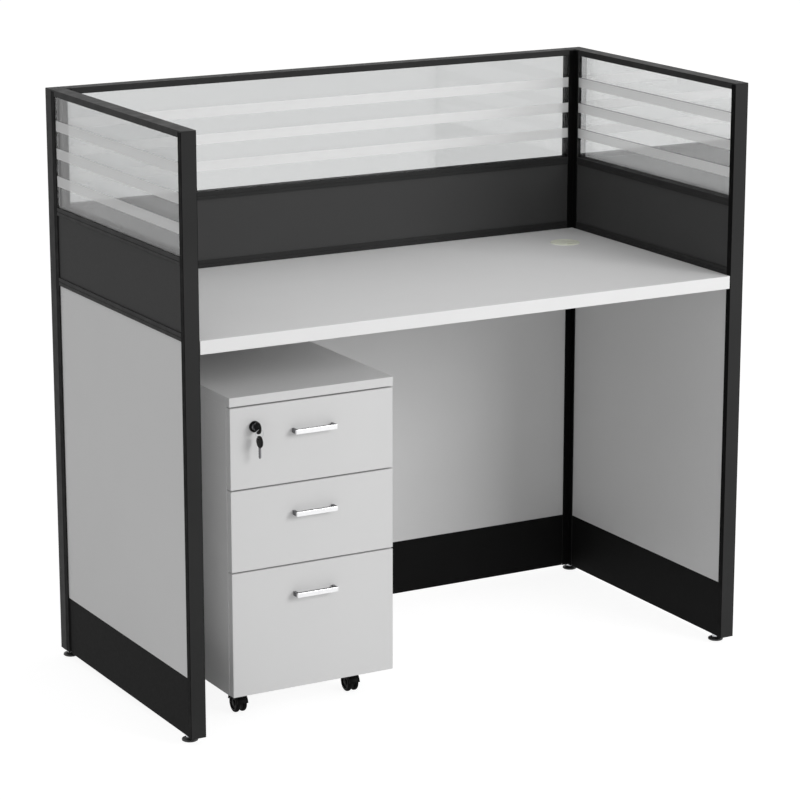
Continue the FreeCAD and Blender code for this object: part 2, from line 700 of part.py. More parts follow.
def write_drawers():
    """Fronts, boxes, handles and runners. The lock's housing passes through the top front."""
    fixed = []
    for number, (front_low, front_h, box_h) in enumerate(drawer_levels(), start=1):
        name = "drawer_%d" % number
        front = block((PED_LEFT + FRONT_SIDE_GAP, PED_FRONT, front_low),
                      (PED_RIGHT - FRONT_SIDE_GAP, BOX_FRONT, front_low + front_h))
        front = softened(front, PED_EDGE_R, lambda edge: edge.BoundBox.YMax < PED_FRONT + FRONT_T / 2)
        if number == 1:
            hole = rod(LOCK_BARREL_R + FIT, (LOCK_X, PED_FRONT - CUT, LOCK_Z), Y_AXIS, FRONT_T + 2 * CUT)
            front = front.cut(hole)
        save(name + "_front", [front])
        box_low = front_low + BOX_LIFT
        save(name + "_box", drawer_box(box_low, box_h))
        save(name + "_handle", [handle(front_low + front_h)])
        outer, inner = runner_pair(box_low)
        fixed += outer
        low = box_low + PEG_LIFT
        peg_front = PED_FRONT + BAR_SETBACK + BAR_W - CATCH_D / 2 + PEG_GAP
        peg = block((BOX_LEFT - PEG_OUT, peg_front, low), (BOX_LEFT, peg_front + PEG_D, low + CATCH_H))
        save(name + "_runners", inner + [peg])
    save("pedestal_runners", fixed)


# Lock

def lock_place(angle):
    """The eccentric pin's centre, as (x, z), with the core turned to angle degrees from level."""
    turn = math.radians(angle)
    return LOCK_X - LOCK_THROW_R * math.cos(turn), LOCK_Z + LOCK_THROW_R * math.sin(turn)


def write_lock():
    """Housing, core and lock bar. The core's pin stands in the slot of the bar's tab."""
    flange = rod(LOCK_FLANGE_R, (LOCK_X, LOCK_FACE, LOCK_Z), Y_AXIS, LOCK_FLANGE_T)
    middle = LOCK_FACE + LOCK_FLANGE_T / 2
    flange = softened(flange, LOCK_FLANGE_T / 4, lambda edge: edge.BoundBox.YMax < middle)
    barrel = rod(LOCK_BARREL_R, (LOCK_X, LOCK_FACE, LOCK_Z), Y_AXIS, LOCK_BACK - LOCK_FACE)
    bore = rod(LOCK_CORE_R + FIT, (LOCK_X, LOCK_FACE - CUT, LOCK_Z), Y_AXIS, LOCK_BACK - LOCK_FACE + 2 * CUT)
    save("lock_housing", [joined([flange, barrel]).cut(bore)])

    disc_y = LOCK_BACK + PLAY
    core = rod(LOCK_CORE_R, (LOCK_X, LOCK_FACE, LOCK_Z), Y_AXIS, disc_y - LOCK_FACE)
    disc = rod(LOCK_DISC_R, (LOCK_X, disc_y, LOCK_Z), Y_AXIS, LOCK_DISC_T)
    pin_x, pin_z = lock_place(-LOCK_REST_ANGLE)
    pin = rod(LOCK_PIN_R, (pin_x, disc_y, pin_z), Y_AXIS, LOCK_DISC_T + LOCK_PIN_L)
    slot_t = KEY_BLADE_T / 2 + KEY_SLOT_PLAY
    slot_h = KEY_BLADE_H / 2 + KEY_SLOT_PLAY
    slot = block((LOCK_X - slot_t, LOCK_FACE - CUT, LOCK_Z - slot_h),
                 (LOCK_X + slot_t, LOCK_FACE + KEY_BLADE_L, LOCK_Z + slot_h))
    save("lock_core", [joined([core, disc, pin]).cut(slot)])

    bar_front = PED_FRONT + BAR_SETBACK
    low = CASTOR_H + PED_BOARD_T + BAR_END_GAP
    high = PED_LID_Z - BAR_END_GAP - LOCK_LIFT
    bar = block((PED_INNER_LEFT - BAR_T, bar_front, low), (PED_INNER_LEFT, bar_front + BAR_W, high))
    tab_y = disc_y + LOCK_DISC_T + TAB_GAP
    half_slot = LOCK_PIN_R + LOCK_SLOT_PLAY
    tab = block((PED_INNER_LEFT - BAR_T, tab_y, pin_z - half_slot - TAB_MARGIN),
                (pin_x + half_slot + TAB_MARGIN, tab_y + TAB_T, pin_z + half_slot + TAB_MARGIN))
    slot_left = LOCK_X - LOCK_THROW_R - half_slot
    tab = tab.cut(block((slot_left, tab_y - CUT, pin_z - half_slot),
                        (pin_x + half_slot, tab_y + TAB_T + CUT, pin_z + half_slot)))
    pieces = [bar, tab]
    middle = bar_front + BAR_W / 2
    for front_low, _, _ in drawer_levels():
        top = front_low + BOX_LIFT + PEG_LIFT - CATCH_GAP
        pieces.append(block((PED_INNER_LEFT - BAR_T, middle - CATCH_D / 2, top - CATCH_H),
                            (PED_INNER_LEFT + CATCH_OUT, middle + CATCH_D / 2, top)))
    save("lock_bar", [joined(pieces)])


def key_shapes():
    """A key in its own place: the bow's centre at the origin, the blade along +Y, flat in the YZ plane."""
    bow = rod(KEY_BOW_R, (-KEY_BOW_T / 2, 0, 0), X_AXIS, KEY_BOW_T)
    bow = softened(bow, KEY_BOW_EDGE_R, lambda edge: edge.Curve.TypeId == "Part::GeomCircle")
    bow = bow.cut(rod(KEY_HOLE_R, (-KEY_BOW_T, -KEY_HOLE_OUT, 0), X_AXIS, 2 * KEY_BOW_T))
    start = KEY_BOW_R + KEY_STOP
    end = start + KEY_BLADE_L - KEY_SLOT_PLAY
    half = KEY_BLADE_H / 2
    points = [(-KEY_BLADE_T / 2, 0, -half), (-KEY_BLADE_T / 2, end - half, -half), (-KEY_BLADE_T / 2, end, 0)]
    bit_l = (end - half - start) / (2 * KEY_BITS + 1)
    points.append((-KEY_BLADE_T / 2, end - half, half))
    for bit in range(KEY_BITS):
        y = end - half - (2 * bit + 1) * bit_l
        points.append((-KEY_BLADE_T / 2, y, half))
        points.append((-KEY_BLADE_T / 2, y - bit_l / 2, half - KEY_BIT))
        points.append((-KEY_BLADE_T / 2, y - bit_l, half))
    points.append((-KEY_BLADE_T / 2, 0, half))
    blade = prism(points, X_AXIS, KEY_BLADE_T)
    return bow, blade.cut(rod(KEY_BOW_R, (-KEY_BOW_T, 0, 0), X_AXIS, 2 * KEY_BOW_T))


def write_keys():
    """The key in the lock, the ring through its bow, and the spare key that hangs from the ring."""
    bow, blade = key_shapes()
    key = joined([bow, blade])
    save("key", [moved(key, 0, (LOCK_X, KEY_BOW_Y, LOCK_Z))])
    ring = Part.makeTorus(RING_R, RING_WIRE_R, FreeCAD.Vector(LOCK_X, KEY_HOLE_Y, RING_Z), Y_AXIS)
    save("key_ring", [ring])
    spare = key.copy()
    spare.rotate(FreeCAD.Vector(0, 0, 0), X_AXIS, -90)
    spare.translate(FreeCAD.Vector(LOCK_X, KEY_HOLE_Y, SPARE_HOLE_Z - KEY_HOLE_OUT))
    save("spare_key", [spare])


# Castors

def castor(x, y):
    """The swivelling housing and the pair of wheels on its axle, trailing towards +Y."""
    axle_y = y + CASTOR_TRAIL
    axle_z = WHEEL_R
    top = CASTOR_H - CASTOR_TOP_GAP
    collar_low = top - CASTOR_COLLAR_H
    half_w = WEB_T / 2 + WHEEL_GAP + WHEEL_W
    hood_r = WHEEL_R + HOOD_GAP + HOOD_T
    shell = rod(hood_r, (x - half_w, axle_y, axle_z), X_AXIS, 2 * half_w)
    shell = shell.cut(rod(hood_r - HOOD_T, (x - half_w - CUT, axle_y, axle_z), X_AXIS, 2 * (half_w + CUT)))
    shell = shell.cut(block((x - half_w - CUT, axle_y - 2 * hood_r, -hood_r),
                            (x + half_w + CUT, axle_y + 2 * hood_r, axle_z + HOOD_LOW)))
    web = prism([(x - WEB_T / 2, y - CASTOR_COLLAR_R, top - CASTOR_COLLAR_H / 2),
                 (x - WEB_T / 2, y - CASTOR_COLLAR_R, collar_low),
                 (x - WEB_T / 2, axle_y - 2 * AXLE_R, axle_z),
                 (x - WEB_T / 2, axle_y, axle_z - 2 * AXLE_R),
                 (x - WEB_T / 2, axle_y + 2 * AXLE_R, axle_z),
                 (x - WEB_T / 2, axle_y + WHEEL_R / 2, axle_z + WHEEL_R)], X_AXIS, WEB_T)
    collar = rod(CASTOR_COLLAR_R, (x, y, collar_low), Z_AXIS, CASTOR_COLLAR_H)
    stem = rod(CASTOR_STEM_R, (x, y, collar_low), Z_AXIS, CASTOR_H - collar_low + CASTOR_STEM_L)
    bore = rod(AXLE_R + FIT, (x - WEB_T, axle_y, axle_z), X_AXIS, 2 * WEB_T)
    housing = joined([shell, web, collar, stem]).cut(bore)

    wheels = [rod(AXLE_R, (x - half_w, axle_y, axle_z), X_AXIS, 2 * half_w)]
    for side in (-1, 1):
        near = x + side * (WEB_T / 2 + WHEEL_GAP)
        wheel = rod(WHEEL_R, (near, axle_y, axle_z), X_AXIS * side, WHEEL_W)
        wheel = softened(wheel, WHEEL_EDGE_R, lambda edge: edge.Curve.TypeId == "Part::GeomCircle")
        dish_x = near + side * (WHEEL_W - WHEEL_DISH_D)
        dish = rod(WHEEL_DISH_R, (dish_x, axle_y, axle_z), X_AXIS * side, WHEEL_W)
        wheels.append(wheel.cut(dish))
    return housing, joined(wheels)


def write_castors():
    names = ("front_left", "front_right", "rear_left", "rear_right")
    for name, (x, y) in zip(names, castor_stems()):
        housing, wheels = castor(x, y)
        save("castor_%s_housing" % name, [housing])
        save("castor_%s_wheels" % name, [wheels])


os.makedirs("parts", exist_ok=True)
write_screens(bracket_screws(screw_hole))
write_glides()
write_desktop()
write_cabinet()
write_drawers()
write_lock()
write_keys()
write_castors()
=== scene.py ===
# %% [markdown]
# # A cubicle workstation: three glazed screens, a desktop and a pedestal on castors
#
# The sizes, places and joints come from the construction model, which is loaded first. What is made
# here is the look: the finish of each surface, and the small shapes that a finish needs, such as
# eased edges, frosted stripes, screw heads and wheel treads. Lengths are in metres, and a length
# given in millimetres is written times MM.

# %% Load the frame
import bmesh
import bpy
import json
import math
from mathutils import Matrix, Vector


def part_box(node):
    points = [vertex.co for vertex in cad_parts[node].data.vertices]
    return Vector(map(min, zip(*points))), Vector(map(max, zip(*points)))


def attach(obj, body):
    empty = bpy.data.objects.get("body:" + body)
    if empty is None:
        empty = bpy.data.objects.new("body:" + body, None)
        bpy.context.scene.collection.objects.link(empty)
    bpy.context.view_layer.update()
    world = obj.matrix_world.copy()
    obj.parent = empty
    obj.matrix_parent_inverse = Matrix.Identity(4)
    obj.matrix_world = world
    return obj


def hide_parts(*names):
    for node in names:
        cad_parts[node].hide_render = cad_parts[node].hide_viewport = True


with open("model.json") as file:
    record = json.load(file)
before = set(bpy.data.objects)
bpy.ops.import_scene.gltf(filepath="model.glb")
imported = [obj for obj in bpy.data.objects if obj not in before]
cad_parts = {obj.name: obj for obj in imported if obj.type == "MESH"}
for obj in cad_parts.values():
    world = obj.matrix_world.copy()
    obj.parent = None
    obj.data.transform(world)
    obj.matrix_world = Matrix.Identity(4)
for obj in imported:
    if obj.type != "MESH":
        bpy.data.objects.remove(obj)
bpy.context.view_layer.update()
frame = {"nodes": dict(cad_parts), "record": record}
MM = 0.001
BODY_OF = {}
for body, nodes in frame["record"]["behaviour"]["bodies"].items():
    BODY_OF.update(dict.fromkeys(nodes, body))

# %% [markdown]
# ## Building shader trees with one call
#
# A finish is a small graph of nodes. Written out by hand, each node takes four or five lines: make
# it, set its options, set its inputs, link it. The helper below does that in one call, and takes
# either a value or another node's output for each input, so a finish reads like a formula.

# %% A helper for nodes
def add(tree, kind, inputs=None, **options):
    """A new node with its options set, and each input linked to a socket or set to a value."""
    node = tree.nodes.new(kind)
    for name, value in options.items():
        setattr(node, name, value)
    for name, value in (inputs or {}).items():
        if isinstance(value, bpy.types.NodeSocket):
            tree.links.new(value, node.inputs[name])
        else:
            node.inputs[name].default_value = value
    return node


# %% Helpers that begin and end a finish
def new_finish(name, **constants):
    """A material, its tree and its principled shader, whose plain inputs are set from constants."""
    material = bpy.data.materials.new(name)
    material.use_nodes = True
    shader = material.node_tree.nodes["Principled BSDF"]
    for socket, value in constants.items():
        shader.inputs[socket.replace("_", " ")].default_value = value
    return material, material.node_tree, shader


def clothe(tree, shader, colour, roughness, normal):
    """Link a colour, a roughness and a relief to the shader."""
    tree.links.new(colour, shader.inputs["Base Color"])
    tree.links.new(roughness, shader.inputs["Roughness"])
    tree.links.new(normal, shader.inputs["Normal"])


def mixed_surface(tree, share, first, second):
    """The surface is the first shader, and the second one by a share."""
    both = add(tree, "ShaderNodeMixShader", {0: share, 1: first.outputs[0], 2: second.outputs[0]})
    tree.links.new(both.outputs[0], tree.nodes["Material Output"].inputs["Surface"])


# %% [markdown]
# ## Patterns that lie on the object
#
# Coordinates come from the Object output, so a pattern has the same size in millimetres on every
# piece and stays put when a drawer slides. Noise at a scale of s has features of about 1/s metres.
# Most of its values lie between 0.3 and 0.7, so a tone or a gloss is spread over that range.

# %% Noise, tones, roughness and relief
NOISE_LOW = 0.3
NOISE_HIGH = 0.7


def place_of(tree):
    """Where a point lies on its piece, in metres."""
    return add(tree, "ShaderNodeTexCoord").outputs["Object"]


def stretched(tree, place, factors):
    """The place with each axis scaled. A small factor draws a pattern out along its axis."""
    mapping = add(tree, "ShaderNodeMapping", {"Vector": place, "Scale": factors})
    return mapping.outputs["Vector"]


def grain(tree, place, per_metre, detail=2.0, roughness=0.5):
    """Noise between 0 and 1."""
    noise = add(tree, "ShaderNodeTexNoise", {
        "Vector": place, "Scale": per_metre, "Detail": detail, "Roughness": roughness})
    return noise.outputs["Fac"]


def as_colour(tone):
    """A grey or a colour, as three numbers."""
    return (tone, tone, tone) if isinstance(tone, float) else tuple(tone)


def tones(tree, noise, dark, light):
    """Noise as tones from dark to light, each a grey or a colour."""
    ramp = add(tree, "ShaderNodeValToRGB", {"Fac": noise})
    ends = ((NOISE_LOW, dark), (NOISE_HIGH, light))
    for element, (position, tone) in zip(ramp.color_ramp.elements, ends):
        element.position = position
        element.color = (*as_colour(tone), 1.0)
    return ramp.outputs["Color"]


def spread(tree, noise, middle, stray):
    """Noise as values that stray from a middle one by up to a share of it."""
    values = add(tree, "ShaderNodeMapRange", {
        "Value": noise, "From Min": NOISE_LOW, "From Max": NOISE_HIGH,
        "To Min": middle * (1 - stray), "To Max": middle * (1 + stray)})
    return values.outputs["Result"]


def relief(tree, height, depth):
    """Bump from a height between 0 and 1, depth metres deep."""
    return add(tree, "ShaderNodeBump", {"Height": height, "Distance": depth}).outputs["Normal"]


# %% [markdown]
# ## Painted metal and moulded plastic
#
# The extrusions are powder coated: the powder melts into a satin skin with an orange peel of about
# a millimetre. The plastics are moulded in tools that were spark eroded, which leaves a finer and
# sharper grain than paint. Both are clouds of tone and gloss over a fine relief, so one helper with
# a few numbers serves them all, instead of a tree for each.

# %% Coats and plastics
GLOSS_CLOUDS_FINER = 9
MATT = 0.06


def coat_finish(name, base, contrast, rough, clouds, peel, peel_depth, **constants):
    """A finish with clouded tone, clouded gloss and a fine relief.

    base is a grey or a colour, contrast how far the tone strays from it, rough the middle
    roughness, clouds their scale, and peel and peel_depth the scale and depth of the relief."""
    material, tree, shader = new_finish(name, **constants)
    place = place_of(tree)
    colour = as_colour(base)
    dark = tuple(part * (1 - contrast) for part in colour)
    light = tuple(min(1.0, part * (1 + contrast)) for part in colour)
    gloss_clouds = grain(tree, place, clouds * GLOSS_CLOUDS_FINER, detail=3.0)
    clothe(tree, shader,
           tones(tree, grain(tree, place, clouds, detail=4.0), dark, light),
           spread(tree, gloss_clouds, rough, stray=0.12),
           relief(tree, grain(tree, place, peel), peel_depth))
    return material


black_coat = coat_finish(
    "black_powder_coat", 0.034, contrast=0.08, rough=0.50, clouds=5.0,
    peel=900.0, peel_depth=0.04 * MM, Specular_IOR_Level=MATT)
strip_coat = coat_finish(
    "cover_strip_coat", 0.004, contrast=0.15, rough=0.62, clouds=5.0,
    peel=1400.0, peel_depth=0.02 * MM, Specular_IOR_Level=0.05)
bracket_coat = coat_finish(
    "bracket_coat", 0.030, contrast=0.12, rough=0.44, clouds=30.0,
    peel=1100.0, peel_depth=0.04 * MM, Specular_IOR_Level=MATT)
spacer_coat = coat_finish(
    "spacer_coat", 0.015, contrast=0.10, rough=0.50, clouds=40.0,
    peel=1500.0, peel_depth=0.02 * MM, Specular_IOR_Level=MATT)
cap_plastic = coat_finish(
    "cap_plastic", 0.034, contrast=0.10, rough=0.52, clouds=30.0,
    peel=2600.0, peel_depth=0.03 * MM, Specular_IOR_Level=MATT)
glide_plastic = coat_finish(
    "glide_plastic", 0.020, contrast=0.15, rough=0.45, clouds=60.0,
    peel=2600.0, peel_depth=0.03 * MM)
cream_plastic = coat_finish(
    "cream_plastic", (0.95, 0.97, 0.84), contrast=0.03, rough=0.34, clouds=20.0,
    peel=2600.0, peel_depth=0.02 * MM)
key_plastic = coat_finish(
    "key_plastic", 0.005, contrast=0.15, rough=0.35, clouds=80.0,
    peel=3000.0, peel_depth=0.02 * MM, Specular_IOR_Level=0.12)
nylon = coat_finish(
    "castor_nylon", 0.005, contrast=0.15, rough=0.40, clouds=60.0,
    peel=2600.0, peel_depth=0.02 * MM, Specular_IOR_Level=MATT)
tread_rubber = coat_finish(
    "tread_rubber", 0.008, contrast=0.20, rough=0.70, clouds=80.0,
    peel=3000.0, peel_depth=0.04 * MM, Specular_IOR_Level=MATT)
print("ten coats and plastics")

# %% [markdown]
# ## Boards
#
# All the boards are chipboard under a printed melamine skin. The pale ones are nearly plain: a
# faint cloud in the tone, and a pearl relief, pressed in by the steel plate of the press, that
# breaks up reflections. The dark ones are matt, and so are the rolled kick plates, whose flat coat
# looks alike. Where a board's narrow edge shows, it wears a band of plastic that is a shade
# smoother than the face.

# %% Board finishes
CLOUD_STRAY = 0.015


def board_finish(name, base, rough, pearl_depth, **constants):
    """Melamine: a cloud so faint that it is nearly plain, clouded gloss, and a pearl relief."""
    material, tree, shader = new_finish(name, **constants)
    place = place_of(tree)
    dark = base * (1 - CLOUD_STRAY)
    light = min(1.0, base * (1 + CLOUD_STRAY))
    clouds = grain(tree, place, per_metre=3.0, detail=5.0, roughness=0.6)
    gloss_clouds = grain(tree, place, per_metre=200.0)
    pearl = grain(tree, place, per_metre=700.0, detail=3.0, roughness=0.6)
    clothe(tree, shader,
           tones(tree, clouds, dark, light),
           spread(tree, gloss_clouds, rough, stray=0.05),
           relief(tree, pearl, pearl_depth))
    return material


kick_coat = board_finish(
    "kick_plate_coat", 0.008, rough=0.60, pearl_depth=0.03 * MM, Specular_IOR_Level=0.04)
dark_laminate = board_finish(
    "dark_laminate", 0.064, rough=0.65, pearl_depth=0.02 * MM, Specular_IOR_Level=MATT)
screen_melamine = board_finish("screen_melamine", 0.70, rough=0.52, pearl_depth=0.02 * MM)
desk_melamine = board_finish("desk_melamine", 0.83, rough=0.50, pearl_depth=0.02 * MM)
pedestal_melamine = board_finish("pedestal_melamine", 0.76, rough=0.50, pearl_depth=0.02 * MM)
box_melamine = board_finish("box_melamine", 0.70, rough=0.50, pearl_depth=0.03 * MM)
desk_band = coat_finish(
    "desk_band", 0.90, contrast=0.01, rough=0.42, clouds=12.0, peel=800.0, peel_depth=0.02 * MM)
pedestal_band = coat_finish(
    "pedestal_band", 0.76, contrast=0.01, rough=0.45, clouds=12.0, peel=800.0, peel_depth=0.02 * MM)
print("eight board finishes")

# %% [markdown]
# ## Metals
#
# Metal takes its colour from its reflection, so its detail sits in the roughness: zinc plate is
# mottled, the steel of the keys carries fine lines, and the handles are polished until only faint
# lines along the bar are left.

# %% Metal finishes
EVEN = (1.0, 1.0, 1.0)
METAL_DARK_SHARE = 0.93
SCRATCH_DEPTH = 0.01 * MM


def metal_finish(name, colour, rough, lines, drawn):
    """Metal whose gloss is mottled by noise, which the factors of X, Y and Z draw out to lines."""
    material, tree, shader = new_finish(name, Metallic=1.0)
    place = place_of(tree)
    scratches = grain(tree, stretched(tree, place, drawn), lines, detail=3.0)
    clouds = grain(tree, place, per_metre=90.0, detail=3.0)
    dark = tuple(part * METAL_DARK_SHARE for part in colour)
    clothe(tree, shader,
           tones(tree, clouds, dark, colour),
           spread(tree, scratches, rough, stray=0.25),
           relief(tree, scratches, SCRATCH_DEPTH))
    return material


zinc = metal_finish("zinc_plate", (0.62, 0.63, 0.65), rough=0.36, lines=260.0, drawn=EVEN)
handle_metal = metal_finish(
    "polished_handle", (0.88, 0.88, 0.89), rough=0.30, lines=2200.0, drawn=(0.08, 1.0, 1.0))
foot_metal = metal_finish("handle_foot", (0.22, 0.22, 0.23), rough=0.40, lines=400.0, drawn=EVEN)
key_metal = metal_finish(
    "key_steel", (0.22, 0.22, 0.23), rough=0.30, lines=1800.0, drawn=(1.0, 0.2, 1.0))
print("four metals")

# %% [markdown]
# ## Glass, and the frosted film on it
#
# Each pane is a solid slab of glass, so the renderer bends light at both faces by itself. Real
# float glass is faintly grey seen through its thickness. A lamp's shadow rays can't follow the
# bends, so they get through by a see-through shader instead. A film is a layer that stops a share
# of the light and lets the rest straight through: the frosted one scatters its share, and the
# mirror one reflects it. A film's piece is a closed sheet, so a ray meets it twice, and only the
# face that it enters by counts.

# %% Glass and films
GLASS_INDEX = 1.38
WAVES_PER_METRE = 3.0
WAVE_DEPTH = 0.004 * MM
FLECK_SHARE = 0.98


def glass_finish(name, tint):
    """Glass for the eye, and tinted air for a lamp's shadow rays. The glass has faint waves."""
    material, tree, shader = new_finish(
        name, Roughness=0.0, IOR=GLASS_INDEX, Transmission_Weight=1.0, Base_Color=(*tint, 1.0))
    waves = grain(tree, place_of(tree), WAVES_PER_METRE, detail=1.0)
    tree.links.new(relief(tree, waves, WAVE_DEPTH), shader.inputs["Normal"])
    clear = add(tree, "ShaderNodeBsdfTransparent", {"Color": (*tint, 1.0)})
    shadow = add(tree, "ShaderNodeLightPath").outputs["Is Shadow Ray"]
    mixed_surface(tree, shadow, shader, clear)
    return material


def film_finish(name, grey, rough, cover, metallic=0.0):
    """A film on the glass. cover is the share of light that it stops."""
    material, tree, shader = new_finish(name, Roughness=rough, Metallic=metallic)
    flecks = grain(tree, place_of(tree), per_metre=900.0, detail=3.0)
    shade = tones(tree, flecks, grey * FLECK_SHARE, grey)
    tree.links.new(shade, shader.inputs["Base Color"])
    clear = add(tree, "ShaderNodeBsdfTransparent")
    leaving = add(tree, "ShaderNodeNewGeometry").outputs["Backfacing"]
    share = add(tree, "ShaderNodeMapRange", {"Value": leaving, "To Min": cover, "To Max": 0.0})
    mixed_surface(tree, share.outputs[0], clear, shader)
    return material


pane_glass = glass_finish("pane_glass", (0.78, 0.785, 0.785))
coated_glass = glass_finish("coated_glass", (0.87, 0.875, 0.875))
frost_film = film_finish("frost_film", 0.98, rough=0.6, cover=0.70)
# Painted shade: a dark film for the fine line along the top of each stripe on the right screen.
painted_shade_line = film_finish("painted_shade_line", 0.12, rough=0.6, cover=0.75)
mirror_film = film_finish("mirror_film", 0.97, rough=0.0, cover=0.56, metallic=1.0)
print("two glasses and three films")

# %% [markdown]
# ## From a construction solid to a finished piece
#
# The construction's solids have knife-sharp edges, and nothing real has: paint, film and sawn board
# all turn a corner over a few tenths of a millimetre, and that line is what catches the light. A
# copy of the solid is merged, its flat faces are made whole, and its sharp edges are bevelled. A
# Bevel modifier could do this too, but doing it in the mesh leaves plain geometry to export. A node
# whose shape is right as it is keeps it, and is only painted.

# %% Helpers that put a piece in the scene
def new_object(name, mesh, look):
    """A mesh as an object in the scene, with one finish."""
    piece = bpy.data.objects.new(name, mesh)
    bpy.context.scene.collection.objects.link(piece)
    mesh.materials.clear()
    mesh.materials.append(look)
    return piece


def belongs_to(piece, node):
    """The piece is an addition to a node, and moves with it."""
    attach(piece, BODY_OF[node])


def stand_for(piece, node):
    """The piece moves with a node too, and takes its place."""
    belongs_to(piece, node)
    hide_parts(node)


def paint(node, look):
    """A construction node whose shape is right as it is gets its finish."""
    node_object = frame["nodes"][node]
    node_object.data.materials.clear()
    node_object.data.materials.append(look)


# %% Helpers for edges
EASED_DEG = 30.0
CRISP_DEG = 35.0


def sharp_edges(shape, angle_deg):
    """The edges where two faces meet at more than the angle."""
    limit = math.radians(angle_deg)
    return [e for e in shape.edges if len(e.link_faces) == 2 and e.calc_face_angle() > limit]


def ease(shape, width, segments=2):
    """Bevel every sharp edge of a bmesh."""
    bmesh.ops.bevel(shape, geom=sharp_edges(shape, EASED_DEG), offset=width, segments=segments,
                    profile=0.5, affect="EDGES", clamp_overlap=True)


def smooth_by_angle(mesh, angle_deg=CRISP_DEG):
    """Shade smooth, but keep the edges sharper than the angle crisp."""
    shape = bmesh.new()
    shape.from_mesh(mesh)
    for face in shape.faces:
        face.smooth = True
    for edge in sharp_edges(shape, angle_deg):
        edge.smooth = False
    shape.to_mesh(mesh)
    shape.free()


# %% Helpers that copy and finish a solid
WELD = 1e-6
FLAT_DEG = 1.0


def merged_copy(node):
    """A node's solids as a bmesh whose flat faces are whole."""
    shape = bmesh.new()
    shape.from_mesh(frame["nodes"][node].data)
    bmesh.ops.remove_doubles(shape, verts=shape.verts, dist=WELD)
    bmesh.ops.dissolve_limit(shape, angle_limit=math.radians(FLAT_DEG), verts=shape.verts,
                             edges=shape.edges)
    return shape


def as_mesh(name, shape):
    """A bmesh as a mesh. The bmesh is freed."""
    mesh = bpy.data.meshes.new(name)
    shape.to_mesh(mesh)
    shape.free()
    return mesh


def finished(name, shape, look, node, smooth=False):
    """A bmesh as a piece that stands for a node."""
    mesh = as_mesh(name, shape)
    if smooth:
        smooth_by_angle(mesh)
    stand_for(new_object(name, mesh, look), node)


def eased_copy(node, look, width, smooth=False):
    """A node's solids with their edges eased. It stands for the node."""
    shape = merged_copy(node)
    ease(shape, width)
    finished(node + "_finished", shape, look, node, smooth)


# %% [markdown]
# ## Screen frames
#
# Each screen is a frame of extruded stiles and rails round its boards and glass, and square posts
# join the screens at the rear corners. The profiles are eased by less than a millimetre, as an
# extrusion die leaves them. Both broad sides of a stile wear a snap-on cover strip, matt and nearly
# black. A strip could be a darker patch of paint, but a real one has an edge that shows, so the
# stiles are cut back by the strips' thickness, and the strips fill the room this makes. The sheet
# kick plates and the boards keep the construction's own shape: their edges lie in the grooves.

# %% Helpers that take solids apart
SNAP = 1e-7


def unit(axis, sign):
    """The direction along an axis, forwards or backwards."""
    way = Vector((0.0, 0.0, 0.0))
    way[axis] = sign
    return way


def cut_back(shape, point, way):
    """Take off what lies beyond a plane through point, on the side of way, and close the cut."""
    whole = shape.verts[:] + shape.edges[:] + shape.faces[:]
    cut = bmesh.ops.bisect_plane(shape, geom=whole, dist=SNAP, plane_co=point, plane_no=way,
                                 clear_outer=True)
    edges = [item for item in cut["geom_cut"] if isinstance(item, bmesh.types.BMEdge)]
    rim = [edge for edge in edges if edge.is_boundary]
    bmesh.ops.holes_fill(shape, edges=rim, sides=0)


def solids_in(shape):
    """The vertices of each solid of a bmesh, one list for each."""
    left = set(shape.verts)
    solids = []
    while left:
        reached = [left.pop()]
        found = []
        while reached:
            vert = reached.pop()
            found.append(vert)
            for link in vert.link_edges:
                other = link.other_vert(vert)
                if other in left:
                    left.remove(other)
                    reached.append(other)
        solids.append(found)
    return solids


def extent(verts):
    """The lowest and the highest corner of the box round some vertices."""
    places = [vert.co for vert in verts]
    return Vector(map(min, *places)), Vector(map(max, *places))


# %% Helpers that put solids together
def pour(shape, mesh):
    """Add a mesh to a bmesh, and remove the mesh."""
    shape.from_mesh(mesh)
    bpy.data.meshes.remove(mesh)


def add_box(shape, low, high, width, segments=2):
    """A box with eased edges, added to a bmesh."""
    part = bmesh.new()
    bmesh.ops.create_cube(part, size=1.0)
    size = Vector(high) - Vector(low)
    middle = (Vector(high) + Vector(low)) / 2
    for vert in part.verts:
        vert.co = vert.co * size + middle
    ease(part, width, segments)
    pour(shape, as_mesh("box", part))


# %% Frames with cover strips
SIDES = ("left", "rear", "right")
STILE_TALL = 0.5
STRIP_T = 0.9 * MM
STRIP_EDGE = 0.4 * MM
RAIL_EDGE = 0.35 * MM


def covered_frame(side):
    """A screen's frame with its stiles cut back, and the cover strips that fill the room."""
    node = side + "_frame"
    normal = 1 if side == "rear" else 0
    rails = merged_copy(node)
    stiles = rails.copy()
    strips = bmesh.new()
    tall = set()
    rails.verts.index_update()
    for verts in solids_in(rails):
        low, high = extent(verts)
        if high.z - low.z < STILE_TALL:
            continue
        tall.update(vert.index for vert in verts)
        inner_low, inner_high = low.copy(), high.copy()
        inner_low[normal] = high[normal] - STRIP_T
        inner_high[normal] = low[normal] + STRIP_T
        add_box(strips, low, inner_high, STRIP_EDGE)
        add_box(strips, inner_low, high, STRIP_EDGE)
    stiles.verts.index_update()
    not_stiles = [vert for vert in stiles.verts if vert.index not in tall]
    not_rails = [vert for vert in rails.verts if vert.index in tall]
    bmesh.ops.delete(stiles, geom=not_stiles, context="VERTS")
    bmesh.ops.delete(rails, geom=not_rails, context="VERTS")
    low, high = extent(stiles.verts)
    for corner, way in ((low, unit(normal, -1.0)), (high, unit(normal, 1.0))):
        cut_back(stiles, corner - way * STRIP_T, way)
    ease(rails, RAIL_EDGE)
    pour(rails, as_mesh("stiles", stiles))
    finished(node + "_finished", rails, black_coat, node)
    finished(side + "_cover_strips", strips, strip_coat, node)


for side in SIDES:
    covered_frame(side)
print("three frames with their cover strips")

